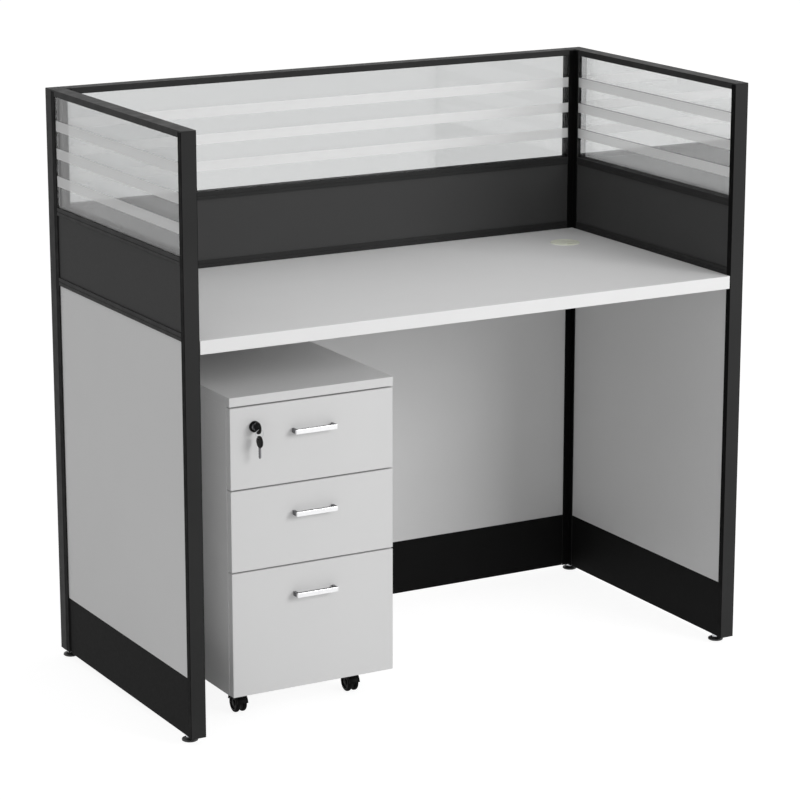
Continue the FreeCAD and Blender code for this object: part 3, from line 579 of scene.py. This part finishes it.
# %% Boards, kick plates, posts and caps
for side in SIDES:
    paint(side + "_upper_board", dark_laminate)
    paint(side + "_lower_board", screen_melamine)
    paint(side + "_kick_plates", kick_coat)
eased_copy("corner_posts", black_coat, width=0.3 * MM)
eased_copy("post_caps", cap_plastic, width=0.3 * MM)
paint("corner_bolts", zinc)
print("two posts and the caps")

# %% [markdown]
# ## Glazing
#
# The top of each screen is a sealed unit: two panes round a dark spacer. Frosted film is stuck to
# one face in three level stripes. The stripes repeat at a steady pitch, so Geometry Nodes make
# them: a line of points, a flat box on each point, made real. The right screen mirrors the rear one
# clearly, so it gets a sheet of half mirror on its inner face. There a fine dark line along the top
# of each stripe is painted shade, standing for the shaded top edge of the film.

# %% Helpers for Geometry Nodes
def growing_tree(name, inputs):
    """An empty tree with named inputs, each (name, kind), and its input and output nodes."""
    tree = bpy.data.node_groups.new(name, "GeometryNodeTree")
    new_socket = tree.interface.new_socket
    new_socket("Geometry", in_out="INPUT", socket_type="NodeSocketGeometry")
    for label, kind in inputs:
        new_socket(label, in_out="INPUT", socket_type="NodeSocket" + kind)
    new_socket("Geometry", in_out="OUTPUT", socket_type="NodeSocketGeometry")
    return tree, add(tree, "NodeGroupInput").outputs, add(tree, "NodeGroupOutput")


def finish_tree(tree, output, instances, look):
    """End a tree: make the instances real and give them their finish."""
    real = add(tree, "GeometryNodeRealizeInstances", {"Geometry": instances})
    painted = add(tree, "GeometryNodeSetMaterial", {"Geometry": real.outputs[0], "Material": look})
    tree.links.new(painted.outputs[0], output.inputs["Geometry"])


def grown(name, tree, values, seeds=None):
    """What a tree makes of a mesh of seeds, as an object with a plain mesh."""
    piece = bpy.data.objects.new(name, seeds or bpy.data.meshes.new(name))
    bpy.context.scene.collection.objects.link(piece)
    modifier = piece.modifiers.new("grow", "NODES")
    modifier.node_group = tree
    for item in tree.interface.items_tree:
        if item.in_out == "INPUT" and item.name in values:
            modifier[item.identifier] = values[item.name]
    evaluated = piece.evaluated_get(bpy.context.evaluated_depsgraph_get())
    mesh = bpy.data.meshes.new_from_object(evaluated)
    piece.modifiers.clear()
    piece.data = mesh
    mesh.name = name
    print(name, len(mesh.polygons), "faces")
    return piece


# %% The stripes' tree
stripes, group_in, group_out = growing_tree("frosted_stripes", [
    ("Stripes", "Int"), ("Pitch", "Float"), ("Top stripe", "Vector"), ("Stripe size", "Vector"),
    ("Finish", "Material")])
fall = add(stripes, "ShaderNodeMath", {0: group_in["Pitch"], 1: -1.0}, operation="MULTIPLY")
step_down = add(stripes, "ShaderNodeCombineXYZ", {"Z": fall.outputs[0]})
middles = add(stripes, "GeometryNodeMeshLine", {
    "Count": group_in["Stripes"], "Start Location": group_in["Top stripe"],
    "Offset": step_down.outputs[0]})
stripe = add(stripes, "GeometryNodeMeshCube", {"Size": group_in["Stripe size"]})
copies = add(stripes, "GeometryNodeInstanceOnPoints", {
    "Points": middles.outputs[0], "Instance": stripe.outputs[0]})
finish_tree(stripes, group_out, copies.outputs[0], group_in["Finish"])
print("a tree for the stripes")

# %% Panes and stripes
STRIPE_H = 20 * MM
STRIPE_COUNT = 3
STRIPE_DROP = 2 * MM
FILM_T = 0.25 * MM
SHADE_LINE_H = 1.0 * MM
SHADE_LINE_T = 0.4 * MM
RAIL_GROOVE = 6 * MM


def stripe_set(name, side, rise, height, thick, look):
    """Level stripes on a screen's glass, or the lines that lie a rise above their middles.

    They lie on the glass's face with the lowest X, or on the rear screen with the lowest Y."""
    glass = side + "_glass"
    low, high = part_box(glass)
    clear_low, clear_high = low.z + RAIL_GROOVE, high.z - RAIL_GROOVE
    pitch = (clear_high - clear_low) / (STRIPE_COUNT + 1)
    normal = 1 if side == "rear" else 0
    start = (low + high) / 2
    start[normal] = low[normal] - thick / 2
    start.z = clear_high - pitch - STRIPE_DROP + rise
    size = high - low
    size[normal] = thick
    size.z = height
    piece = grown(name, stripes, {
        "Stripes": STRIPE_COUNT, "Pitch": pitch, "Top stripe": start, "Stripe size": size,
        "Finish": look})
    belongs_to(piece, glass)


for side in SIDES:
    paint(side + "_glass", coated_glass if side == "right" else pane_glass)
    stripe_set(side + "_frosted_stripes", side, 0.0, STRIPE_H, FILM_T, frost_film)
# Painted shade: a fine dark line along the top of each stripe on the right screen.
stripe_set("right_stripe_painted_shade_lines", "right", STRIPE_H / 2, SHADE_LINE_H, SHADE_LINE_T, painted_shade_line)

# %% [markdown]
# ## Spacers and the half mirror
#
# The spacers touch the panes in the construction. Two faces in one plane would flicker and let
# light leak past, so each spacer stands back from the panes by a hair, along Y in the rear screen
# and along X in the side screens. The mirror could be a sharper gloss of the glass, but glass sends
# back the same small share at both its faces, so a thin sheet with a finish of its own is laid on.

# %% Spacers
SPACER_PLAY = 0.1 * MM
spacers = merged_copy("glass_spacers")
for verts in solids_in(spacers):
    low, high = extent(verts)
    middle = (low + high) / 2
    normal = 1 if abs(middle.x) < middle.y else 0
    for vert in verts:
        inwards = 1 if vert.co[normal] < middle[normal] else -1
        vert.co[normal] += inwards * SPACER_PLAY
print("spacers", len(spacers.verts), "corners")
finished("glass_spacers_finished", spacers, spacer_coat, "glass_spacers")

# %% The right screen's half mirror
MIRROR_T = 0.05 * MM
low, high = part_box("right_glass")
sheet = bmesh.new()
add_box(sheet, (low.x - MIRROR_T, low.y, low.z), (low.x, high.y, high.z), width=MIRROR_T / 5,
        segments=1)
mirror = new_object("right_mirror_film", as_mesh("right_mirror_film", sheet), mirror_film)
belongs_to(mirror, "right_glass")
print("mirror", len(mirror.data.polygons), "faces")

# %% [markdown]
# ## Desktop
#
# The desktop is one board of 25 mm, and a plastic band is glued to its front edge. A band could be
# a change of tone in the material, but then it would have no edge of its own. Here the board is cut
# back by the band's thickness and a strip fills the room. Both are eased, so a fine groove runs
# where they meet.

# %% A helper for boards with edge bands
WAYS = {"left": (0, -1.0), "right": (0, 1.0), "front": (1, -1.0), "rear": (1, 1.0),
        "bottom": (2, -1.0), "top": (2, 1.0)}


def banded_copy(node, look, band_look, faces, band_t, board_edge, band_edge):
    """A board with a band on some faces. The first bands run through, later ones stop at them."""
    board = merged_copy(node)
    bands = bmesh.new()
    low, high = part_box(node)
    low, high = Vector(low), Vector(high)
    for face in faces:
        axis, sign = WAYS[face]
        band_low, band_high = low.copy(), high.copy()
        if sign < 0:
            low[axis] += band_t
            band_high[axis] = low[axis]
            joint = low
        else:
            high[axis] -= band_t
            band_low[axis] = high[axis]
            joint = high
        add_box(bands, band_low, band_high, band_edge)
        cut_back(board, joint, unit(axis, sign))
    ease(board, board_edge)
    finished(node + "_finished", board, look, node)
    finished(node + "_bands", bands, band_look, node)
    print(node, "with", len(faces), "bands")


# %% Desktop
banded_copy("desktop", desk_melamine, desk_band, ("front",),
            band_t=2 * MM, board_edge=0.25 * MM, band_edge=0.6 * MM)

# %% [markdown]
# ## Turned pieces
#
# A grommet, a wheel, a glide and a stud all come off a round tool, so one helper makes them: a
# profile of (radius, place along the axis) points is swept round the axis. A radius of zero closes
# an end in one point. The Spin operator could sweep it too, but it would leave the end points to be
# merged. The normals are recalculated, because a profile drawn the other way would turn inside out.

# %% Helpers for turned pieces
AXES = {"X": Vector((1, 0, 0)), "Y": Vector((0, 1, 0)), "Z": Vector((0, 0, 1))}
ARC_STEPS = 5


def turned_mesh(name, profile, axis, centre, steps, ring=False):
    """A solid of revolution round an axis through centre. A ring's profile closes on itself."""
    along = AXES[axis]
    across = AXES["Y" if axis == "X" else "X"]
    up = along.cross(across)
    turns = [2 * math.pi * i / steps for i in range(steps)]
    spokes = [across * math.cos(turn) + up * math.sin(turn) for turn in turns]
    shape = bmesh.new()
    rows = []
    for radius, height in profile:
        base = Vector(centre) + along * height
        if radius == 0.0:
            rows.append([shape.verts.new(base)] * steps)
        else:
            rows.append([shape.verts.new(base + spoke * radius) for spoke in spokes])
    pairs = list(zip(rows, rows[1:]))
    if ring:
        pairs.append((rows[-1], rows[0]))
    for first, second in pairs:
        for i in range(steps):
            j = (i + 1) % steps
            quad = (first[i], first[j], second[j], second[i])
            shape.faces.new(list(dict.fromkeys(quad)))
    bmesh.ops.recalc_face_normals(shape, faces=shape.faces)
    mesh = as_mesh(name, shape)
    smooth_by_angle(mesh)
    return mesh


def rounded(centre, radius, start_deg, end_deg):
    """The points of an arc round a centre, as (radius, height) pairs for a profile."""
    points = []
    for i in range(ARC_STEPS + 1):
        t = math.radians(start_deg + (end_deg - start_deg) * i / ARC_STEPS)
        points.append((centre[0] + radius * math.cos(t), centre[1] + radius * math.sin(t)))
    return points


# %% Grommet
SLEEVE_R = 26 * MM
SLEEVE_WALL = 1.6 * MM
MOUTH_BREAK = 0.4 * MM
LIP_ROUND_SHARE = 0.8
low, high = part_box("grommet_sleeve")
desk_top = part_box("desktop")[1].z
lid_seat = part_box("grommet_cap")[0].z
bore = SLEEVE_R - SLEEVE_WALL
lip_r = (high.x - low.x) / 2
lip_round = (high.z - desk_top) * LIP_ROUND_SHARE
profile = [(SLEEVE_R, low.z), (SLEEVE_R, desk_top), (lip_r, desk_top)]
profile += rounded((lip_r - lip_round, high.z - lip_round), lip_round, 0, 90)
profile += [(bore + MOUTH_BREAK, high.z), (bore, high.z - MOUTH_BREAK)]
profile += [(bore, lid_seat), (bore - SLEEVE_WALL, lid_seat), (bore - SLEEVE_WALL, low.z)]
axis_foot = ((low.x + high.x) / 2, (low.y + high.y) / 2, 0)
sleeve = turned_mesh("grommet_sleeve_finished", profile, "Z", axis_foot, steps=96,
                     ring=True)
stand_for(new_object("grommet_sleeve_finished", sleeve, cream_plastic), "grommet_sleeve")
eased_copy("grommet_cap", cream_plastic, width=0.3 * MM, smooth=True)
print("grommet", len(sleeve.polygons), "faces")

# %% [markdown]
# ## Brackets and their screws
#
# Six folded brackets carry the desktop. Their 24 pan-head screws are alike, so one head with a
# cross recess is made in Geometry Nodes and set on a point for each screw, turned to the way it is
# driven. The points are read from the construction: one for each loose solid of its screws.

# %% Brackets, and where their screws are
HEAD_H = 2.0 * MM
HEAD_R = 3.6 * MM
eased_copy("desk_brackets", bracket_coat, width=0.4 * MM)
desk_low, desk_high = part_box("desktop")
desk_middle = (desk_low + desk_high) / 2
seats = []
ways = []
screws = merged_copy("desk_screws")
for verts in solids_in(screws):
    low, high = extent(verts)
    size = high - low
    middle = (low + high) / 2
    axis = max(range(3), key=lambda i: size[i])
    way = unit(axis, -1.0 if axis == 2 or middle[axis] > desk_middle[axis] else 1.0)
    seat = middle.copy()
    seat[axis] = (high if way[axis] > 0 else low)[axis] - way[axis] * HEAD_H
    seats.append(seat)
    ways.append(way)
screws.free()
print(len(seats), "screws under the desktop")

# %% The screw heads' tree
SLOT_WIDTH_SHARE = 0.28
SLOT_DEPTH_SHARE = 0.9
SLOT_LENGTH_SHARE = 1.1
heads, group_in, group_out = growing_tree("pan_heads", [
    ("Head radius", "Float"), ("Head height", "Float"), ("Slot width", "Float"),
    ("Slot depth", "Float"), ("Finish", "Material")])
ball = add(heads, "GeometryNodeMeshUVSphere", {
    "Segments": 24, "Rings": 12, "Radius": group_in["Head radius"]})
flatness = add(heads, "ShaderNodeMath", {
    0: group_in["Head height"], 1: group_in["Head radius"]}, operation="DIVIDE")
squash = add(heads, "ShaderNodeCombineXYZ", {"X": 1.0, "Y": 1.0, "Z": flatness.outputs[0]})
dome = add(heads, "GeometryNodeTransform", {
    "Geometry": ball.outputs[0], "Scale": squash.outputs[0]})
slot_length = add(heads, "ShaderNodeMath", {
    0: group_in["Head radius"], 1: SLOT_LENGTH_SHARE}, operation="MULTIPLY")
lift = add(heads, "ShaderNodeCombineXYZ", {"Z": group_in["Head height"]})
head = dome.outputs[0]
for along, across in (("X", "Y"), ("Y", "X")):
    bar_size = add(heads, "ShaderNodeCombineXYZ", {
        along: slot_length.outputs[0], across: group_in["Slot width"],
        "Z": group_in["Slot depth"]})
    bar = add(heads, "GeometryNodeMeshCube", {"Size": bar_size.outputs[0]})
    cutter = add(heads, "GeometryNodeTransform", {
        "Geometry": bar.outputs[0], "Translation": lift.outputs[0]})
    cut = add(heads, "GeometryNodeMeshBoolean", {
        "Mesh 1": head, "Mesh 2": cutter.outputs[0]}, operation="DIFFERENCE", solver="EXACT")
    head = cut.outputs[0]
facing = add(heads, "GeometryNodeInputNamedAttribute", {"Name": "way"}, data_type="FLOAT_VECTOR")
turn = add(heads, "FunctionNodeAlignEulerToVector", {"Vector": facing.outputs[0]}, axis="Z")
placed = add(heads, "GeometryNodeInstanceOnPoints", {
    "Points": group_in["Geometry"], "Instance": head, "Rotation": turn.outputs[0]})
finish_tree(heads, group_out, placed.outputs[0], group_in["Finish"])
print("a tree for the screw heads")

# %% Screw heads
seeds = bpy.data.meshes.new("desk_screws_finished")
seeds.from_pydata(seats, [], [])
facings = seeds.attributes.new("way", "FLOAT_VECTOR", "POINT")
for entry, way in zip(facings.data, ways):
    entry.vector = way
screw_heads = grown("desk_screws_finished", heads, {
    "Head radius": HEAD_R, "Head height": HEAD_H, "Slot width": HEAD_R * SLOT_WIDTH_SHARE,
    "Slot depth": HEAD_H * SLOT_DEPTH_SHARE, "Finish": zinc}, seeds)
stand_for(screw_heads, "desk_screws")

# %% [markdown]
# ## Pedestal
#
# The cabinet and the drawer fronts are edge-banded melamine. A drawer box is four boards in one
# node that touch along their edges, and merging a copy would weld them together, so the boxes are
# built again from their outer size and the boards' thickness.

# %% Cabinet and fronts
BAND_T = 0.8 * MM
DRAWERS = (1, 2, 3)
banded_copy("pedestal_top", pedestal_melamine, pedestal_band, ("left", "right", "front", "rear"),
            BAND_T, board_edge=0.15 * MM, band_edge=0.35 * MM)
for node in ("pedestal_left_side", "pedestal_right_side"):
    banded_copy(node, pedestal_melamine, pedestal_band, ("front",),
                BAND_T, board_edge=0.08 * MM, band_edge=0.1 * MM)
for node in ("pedestal_floor", "pedestal_back"):
    eased_copy(node, pedestal_melamine, width=0.3 * MM)
for number in DRAWERS:
    banded_copy("drawer_%d_front" % number, pedestal_melamine, pedestal_band,
                ("left", "right", "bottom", "top"),
                BAND_T, board_edge=0.12 * MM, band_edge=0.3 * MM)
paint("pedestal_runners", zinc)

# %% Drawer boxes and runners
BOX_WALL = 12 * MM
BOX_BOTTOM = 6 * MM
WALL_EDGE = 0.4 * MM
BOTTOM_EDGE = 0.2 * MM
for number in DRAWERS:
    node = "drawer_%d_box" % number
    low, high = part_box(node)
    inner_low, inner_high = low.x + BOX_WALL, high.x - BOX_WALL
    back = high.y - BOX_WALL
    floor = low.z + BOX_BOTTOM
    boards = bmesh.new()
    add_box(boards, low, (inner_low, high.y, high.z), WALL_EDGE)
    add_box(boards, (inner_high, low.y, low.z), high, WALL_EDGE)
    add_box(boards, (inner_low, back, floor), (inner_high, high.y, high.z), WALL_EDGE)
    add_box(boards, (inner_low, low.y, low.z), (inner_high, high.y, floor), BOTTOM_EDGE)
    finished(node + "_finished", boards, box_melamine, node)
    paint("drawer_%d_runners" % number, zinc)
print("three drawer boxes")

# %% [markdown]
# ## Handles
#
# Each drawer has a short bar handle, milled from flat aluminium and polished, on two dark feet. The
# back of the bar's top is a strip of black plastic. It is painted shade, standing for the shadow
# between the bar and the drawer front. The edges are crisp, only broken by a fine chamfer that
# holds a highlight. The node is one solid, so the three materials are built as pieces of their own
# that fill its box.

# %% Handles
HANDLE_T = 5 * MM
HANDLE_BREAK = 0.4 * MM
PAINTED_SHADE_T = 0.6 * MM
PAINTED_SHADE_FRONT = 0.9 * MM
for number in DRAWERS:
    node = "drawer_%d_handle" % number
    low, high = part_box(node)
    back = low.y + HANDLE_T
    painted_shade_front = low.y + PAINTED_SHADE_FRONT
    painted_shade_foot = high.z - PAINTED_SHADE_T
    bar = bmesh.new()
    add_box(bar, low, (high.x, back, painted_shade_foot), HANDLE_BREAK)
    add_box(bar, (low.x, low.y, painted_shade_foot - HANDLE_BREAK), (high.x, painted_shade_front, high.z),
            HANDLE_BREAK / 2)
    # Painted shade: a black strip over the back of the bar's top, where the shadow between the bar
    # and the drawer front falls.
    painted_shade_strip = bmesh.new()
    add_box(painted_shade_strip, (low.x, painted_shade_front, painted_shade_foot), (high.x, back, high.z), HANDLE_BREAK / 3)
    feet = bmesh.new()
    for start in (low.x, high.x - HANDLE_T):
        add_box(feet, (start, back, low.z + HANDLE_BREAK),
                (start + HANDLE_T, high.y, high.z - HANDLE_BREAK), HANDLE_BREAK / 2)
    finished(node + "_bar", bar, handle_metal, node)
    finished(node + "_inlay", painted_shade_strip, key_plastic, node)
    finished(node + "_feet", feet, foot_metal, node)
print("three handles")

# %% [markdown]
# ## Lock and keys
#
# The lock is a black shell round a steel core. The keys are steel blades moulded into oval plastic
# bows, and hang from a split ring, which is a wire wound nearly twice round. A key is one solid of
# the construction, so it is cut in two where its bow ends, and each part gets its own finish.

# %% Lock
eased_copy("lock_housing", key_plastic, width=0.25 * MM, smooth=True)
eased_copy("lock_core", key_metal, width=0.12 * MM, smooth=True)
paint("lock_bar", zinc)
print("the lock")

# %% Keys
KEY_BOW_D = 22 * MM


def dressed_key(node, blade_way):
    """A key parted where its bow ends: the bow in plastic and the blade in steel."""
    low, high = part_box(node)
    axis, sign = WAYS[blade_way]
    way = unit(axis, sign)
    joint = Vector(low if sign > 0 else high) + way * KEY_BOW_D
    bow = merged_copy(node)
    blade = bow.copy()
    cut_back(bow, joint, way)
    cut_back(blade, joint, -way)
    finished(node + "_bow", bow, key_plastic, node, smooth=True)
    finished(node + "_blade", blade, key_metal, node)


dressed_key("key", "rear")
dressed_key("spare_key", "bottom")
print("two keys")

# %% The split ring's tree
spiral, group_in, group_out = growing_tree("split_ring", [
    ("Turns", "Float"), ("Radius", "Float"), ("Pitch", "Float"), ("Wire radius", "Float"),
    ("Middle", "Vector"), ("Finish", "Material")])
rise = add(spiral, "ShaderNodeMath", {
    0: group_in["Turns"], 1: group_in["Pitch"]}, operation="MULTIPLY")
coil = add(spiral, "GeometryNodeCurveSpiral", {
    "Resolution": 64, "Rotations": group_in["Turns"], "Start Radius": group_in["Radius"],
    "End Radius": group_in["Radius"], "Height": rise.outputs[0]})
half_back = add(spiral, "ShaderNodeMath", {0: rise.outputs[0], 1: -0.5}, operation="MULTIPLY")
back = add(spiral, "ShaderNodeCombineXYZ", {"Z": half_back.outputs[0]})
centred = add(spiral, "GeometryNodeTransform", {
    "Geometry": coil.outputs[0], "Translation": back.outputs[0]})
upright = add(spiral, "GeometryNodeTransform", {
    "Geometry": centred.outputs[0], "Translation": group_in["Middle"],
    "Rotation": (math.pi / 2, 0.0, 0.0)})
wire = add(spiral, "GeometryNodeCurvePrimitiveCircle", {
    "Resolution": 12, "Radius": group_in["Wire radius"]})
tube = add(spiral, "GeometryNodeCurveToMesh", {
    "Curve": upright.outputs[0], "Profile Curve": wire.outputs[0], "Fill Caps": True})
finish_tree(spiral, group_out, tube.outputs[0], group_in["Finish"])
print("a tree for the split ring")

# %% Split ring
RING_TURNS = 1.9
WIRE_CRISP_DEG = 60.0
low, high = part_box("key_ring")
wire_r = (high.y - low.y) / 4
ring = grown("key_ring_finished", spiral, {
    "Turns": RING_TURNS, "Radius": (high.x - low.x) / 2 - wire_r, "Pitch": 2 * wire_r,
    "Wire radius": wire_r, "Middle": (low + high) / 2, "Finish": zinc})
smooth_by_angle(ring.data, WIRE_CRISP_DEG)
stand_for(ring, "key_ring")

# %% [markdown]
# ## Castors
#
# A twin-wheel castor is two nylon wheels with a soft tread on one axle, under a hood. Each wheel is
# turned: a tread with rounded shoulders and a fine groove, a dished face and a hub. The wheels are
# small and dark, so their shape shows in the highlights of these breaks and roundings.

# %% A wheel's profiles
WHEEL_W = 8 * MM
TREAD_T = 3.5 * MM
TREAD_BACK = 0.4 * MM
SHOULDER_R = 2.6 * MM
GROOVE = 0.5 * MM
RIM_BREAK = 0.5 * MM
DISH_R = 12 * MM
DISH_D = 2 * MM
DISH_SLOPE = 0.6 * MM
HUB_R = 5.5 * MM
HUB_BACK = 0.2 * MM
AXLE_R = 3 * MM
AXLE_BREAK = 0.4 * MM


def wheel_profiles(radius, start, way):
    """The profiles of a wheel's tread and core, from the inner face at start, outwards by way."""
    inner = radius - TREAD_T
    middle = WHEEL_W / 2
    shoulder = radius - SHOULDER_R
    shoulder_h = TREAD_BACK + SHOULDER_R
    hub_face = WHEEL_W - HUB_BACK
    dish_floor = WHEEL_W - DISH_D
    tread = [(inner, TREAD_BACK), (shoulder, TREAD_BACK)]
    tread += rounded((shoulder, shoulder_h), SHOULDER_R, -90, 0)
    tread += [(radius, middle - GROOVE), (radius - GROOVE, middle), (radius, middle + GROOVE)]
    tread += rounded((shoulder, WHEEL_W - shoulder_h), SHOULDER_R, 0, 90)
    tread += [(inner, WHEEL_W - TREAD_BACK)]
    core = [(0.0, 0.0), (inner, 0.0), (inner, WHEEL_W - RIM_BREAK), (inner - RIM_BREAK, WHEEL_W)]
    core += [(DISH_R, WHEEL_W), (DISH_R - DISH_SLOPE, dish_floor), (HUB_R + DISH_SLOPE, dish_floor)]
    core += [(HUB_R, hub_face - RIM_BREAK), (HUB_R - DISH_SLOPE, hub_face), (AXLE_R, hub_face)]
    core += [(AXLE_R - AXLE_BREAK, WHEEL_W), (0.0, WHEEL_W)]
    return [[(r, start + way * h) for r, h in profile] for profile in (tread, core)]


# %% Castors
for name in ("front_left", "front_right", "rear_left", "rear_right"):
    node = "castor_%s_wheels" % name
    eased_copy("castor_%s_housing" % name, nylon, width=0.3 * MM, smooth=True)
    low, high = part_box(node)
    middle = (low + high) / 2
    inner_face = (high.x - low.x) / 2 - WHEEL_W
    treads = bmesh.new()
    cores = bmesh.new()
    for way in (-1.0, 1.0):
        tread, core = wheel_profiles((high.z - low.z) / 2, way * inner_face, way)
        pour(treads, turned_mesh("tread", tread, "X", middle, steps=72, ring=True))
        pour(cores, turned_mesh("core", core, "X", middle, steps=72))
    finished("castor_%s_treads" % name, treads, tread_rubber, node, smooth=True)
    finished("castor_%s_cores" % name, cores, nylon, node, smooth=True)
print("four castors, two wheels each")

# %% [markdown]
# ## Glides
#
# Four levelling glides stand on the floor: a moulded pad, a hexagon to take a spanner, and a stud.
# The hexagon is turned too, in only six steps.

# %% Glides
PAD_R = 15 * MM
PAD_H = 7 * MM
SOLE_BREAK = 1.5 * MM
SOLE_RISE = 1.0 * MM
PAD_ROUND = 2.0 * MM
PAD_ROUND_Z = 2.6 * MM
COLLAR = 1.5 * MM
NUT_R = 8 * MM
NUT_TOP = 12.5 * MM
NUT_RISE = 0.6 * MM
STUD_R = 4 * MM
BREAK = 0.8 * MM
pad_profile = [(0.0, 0.0), (PAD_R - SOLE_BREAK, 0.0), (PAD_R, SOLE_RISE)]
pad_profile += rounded((PAD_R - PAD_ROUND, PAD_ROUND_Z), PAD_ROUND, 0, 80)
pad_profile += [(NUT_R + COLLAR, PAD_H - BREAK), (NUT_R + BREAK, PAD_H), (0.0, PAD_H)]
nut_profile = [(0.0, PAD_H), (NUT_R, PAD_H), (NUT_R, NUT_TOP - NUT_RISE)]
nut_profile += [(NUT_R - BREAK, NUT_TOP), (0.0, NUT_TOP)]
for name in ("left_front", "left_rear", "right_front", "right_rear"):
    node = name + "_glide"
    low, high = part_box(node)
    foot = ((low.x + high.x) / 2, (low.y + high.y) / 2, 0.0)
    stud_profile = [(0.0, NUT_TOP), (STUD_R, NUT_TOP), (STUD_R, high.z - BREAK)]
    stud_profile += [(STUD_R - BREAK, high.z), (0.0, high.z)]
    steel = bmesh.new()
    pour(steel, turned_mesh("nut", nut_profile, "Z", foot, steps=6))
    pour(steel, turned_mesh("stud", stud_profile, "Z", foot, steps=32))
    finished(node + "_stud", steel, zinc, node, smooth=True)
    pad = turned_mesh(node + "_pad", pad_profile, "Z", foot, steps=64)
    stand_for(new_object(node + "_pad", pad, glide_plastic), node)
print("four glides")

# %% [markdown]
# ## Floor, light and camera
#
# The photograph is a studio picture on white. The floor is a pale plane that the camera sees as
# white, while lamps and soft world light fall on the object at a level where a colour renders about
# as it is written. The key lamp stands in front on the right, so the right screen shades the
# desktop's far corner.

# %% A helper for the white surroundings
def seen_rays(tree):
    """1 for a camera's ray, also after a reflection or through glass, and 0 for other rays."""
    path = add(tree, "ShaderNodeLightPath").outputs
    seen = path["Is Camera Ray"]
    for kind in ("Is Glossy Ray", "Is Transmission Ray"):
        either = add(tree, "ShaderNodeMath", {0: seen, 1: path[kind]}, use_clamp=True,
                     operation="ADD")
        seen = either.outputs[0]
    return seen


# %% Floor
FLOOR_SIZE = 40.0
FLOOR_COLOUR = (0.85, 0.85, 0.85, 1.0)
SHADOW_COLOUR = (0.25, 0.25, 0.25, 1.0)
GLOW = 0.90


def floor_finish():
    """Pale floor that reads as white where nothing shades it."""
    material, tree, shader = new_finish("studio_floor", Roughness=0.9, Base_Color=FLOOR_COLOUR)
    dents = grain(tree, place_of(tree), per_metre=30.0)
    tree.links.new(relief(tree, dents, depth=0.1 * MM), shader.inputs["Normal"])
    glow = add(tree, "ShaderNodeEmission", {"Strength": GLOW})
    dim = add(tree, "ShaderNodeBsdfDiffuse", {"Color": SHADOW_COLOUR})
    white = add(tree, "ShaderNodeAddShader", {0: glow.outputs[0], 1: dim.outputs[0]})
    mixed_surface(tree, seen_rays(tree), shader, white)
    return material


half = FLOOR_SIZE / 2
floor_mesh = bpy.data.meshes.new("floor")
floor_corners = [(-half, -half, 0), (half, -half, 0), (half, half, 0), (-half, half, 0)]
floor_mesh.from_pydata(floor_corners, [], [(0, 1, 2, 3)])
new_object("floor", floor_mesh, floor_finish())
print("a floor of", FLOOR_SIZE, "metres")

# %% World
AMBIENT = 0.48
world = bpy.data.worlds.new("studio")
world.use_nodes = True
bpy.context.scene.world = world
tree = world.node_tree
background = tree.nodes["Background"]
strength = add(tree, "ShaderNodeMapRange", {
    "Value": seen_rays(tree), "To Min": AMBIENT, "To Max": 1.0})
tree.links.new(strength.outputs[0], background.inputs["Strength"])
background.inputs["Color"].default_value = (1.0, 1.0, 1.0, 1.0)
print("world light", AMBIENT)


# %% Lamps
def lamp(name, place, target, size, watts):
    """A square soft box at place that faces target."""
    data = bpy.data.lights.new(name, "AREA")
    data.shape = "SQUARE"
    data.size = size
    data.energy = watts
    light = bpy.data.objects.new(name, data)
    bpy.context.scene.collection.objects.link(light)
    light.location = place
    light.rotation_mode = "QUATERNION"
    light.rotation_quaternion = (Vector(target) - Vector(place)).to_track_quat("-Z", "Y")
    print("lamp", name, watts, "watts")


MIDDLE = (0.0, 0.0, 0.6)
lamp("key", (2.5, -4.5, 2.5), MIDDLE, size=2.0, watts=104.0)
lamp("overhead", (0.3, -0.5, 4.2), MIDDLE, size=2.5, watts=14.0)

# %% Camera
CAMERA_PLACE = (-2.790923, -4.973636, 1.956792)
YAW_DEG = 29.326
PITCH_DEG = -14.221
FOCAL_PX = 3009.703
IMAGE_PX = 800
SENSOR_MM = 36.0
camera_data = bpy.data.cameras.new("camera")
camera_data.sensor_width = SENSOR_MM
camera_data.lens = FOCAL_PX / IMAGE_PX * SENSOR_MM
camera = bpy.data.objects.new("camera", camera_data)
bpy.context.scene.collection.objects.link(camera)
yaw, pitch = math.radians(YAW_DEG), math.radians(PITCH_DEG)
level = math.cos(pitch)
forward = Vector((math.sin(yaw) * level, math.cos(yaw) * level, math.sin(pitch)))
camera.location = CAMERA_PLACE
camera.rotation_mode = "QUATERNION"
camera.rotation_quaternion = forward.to_track_quat("-Z", "Y")
bpy.context.scene.camera = camera
bpy.context.scene.view_settings.view_transform = "Standard"
print("camera with a lens of", camera_data.lens, "mm")
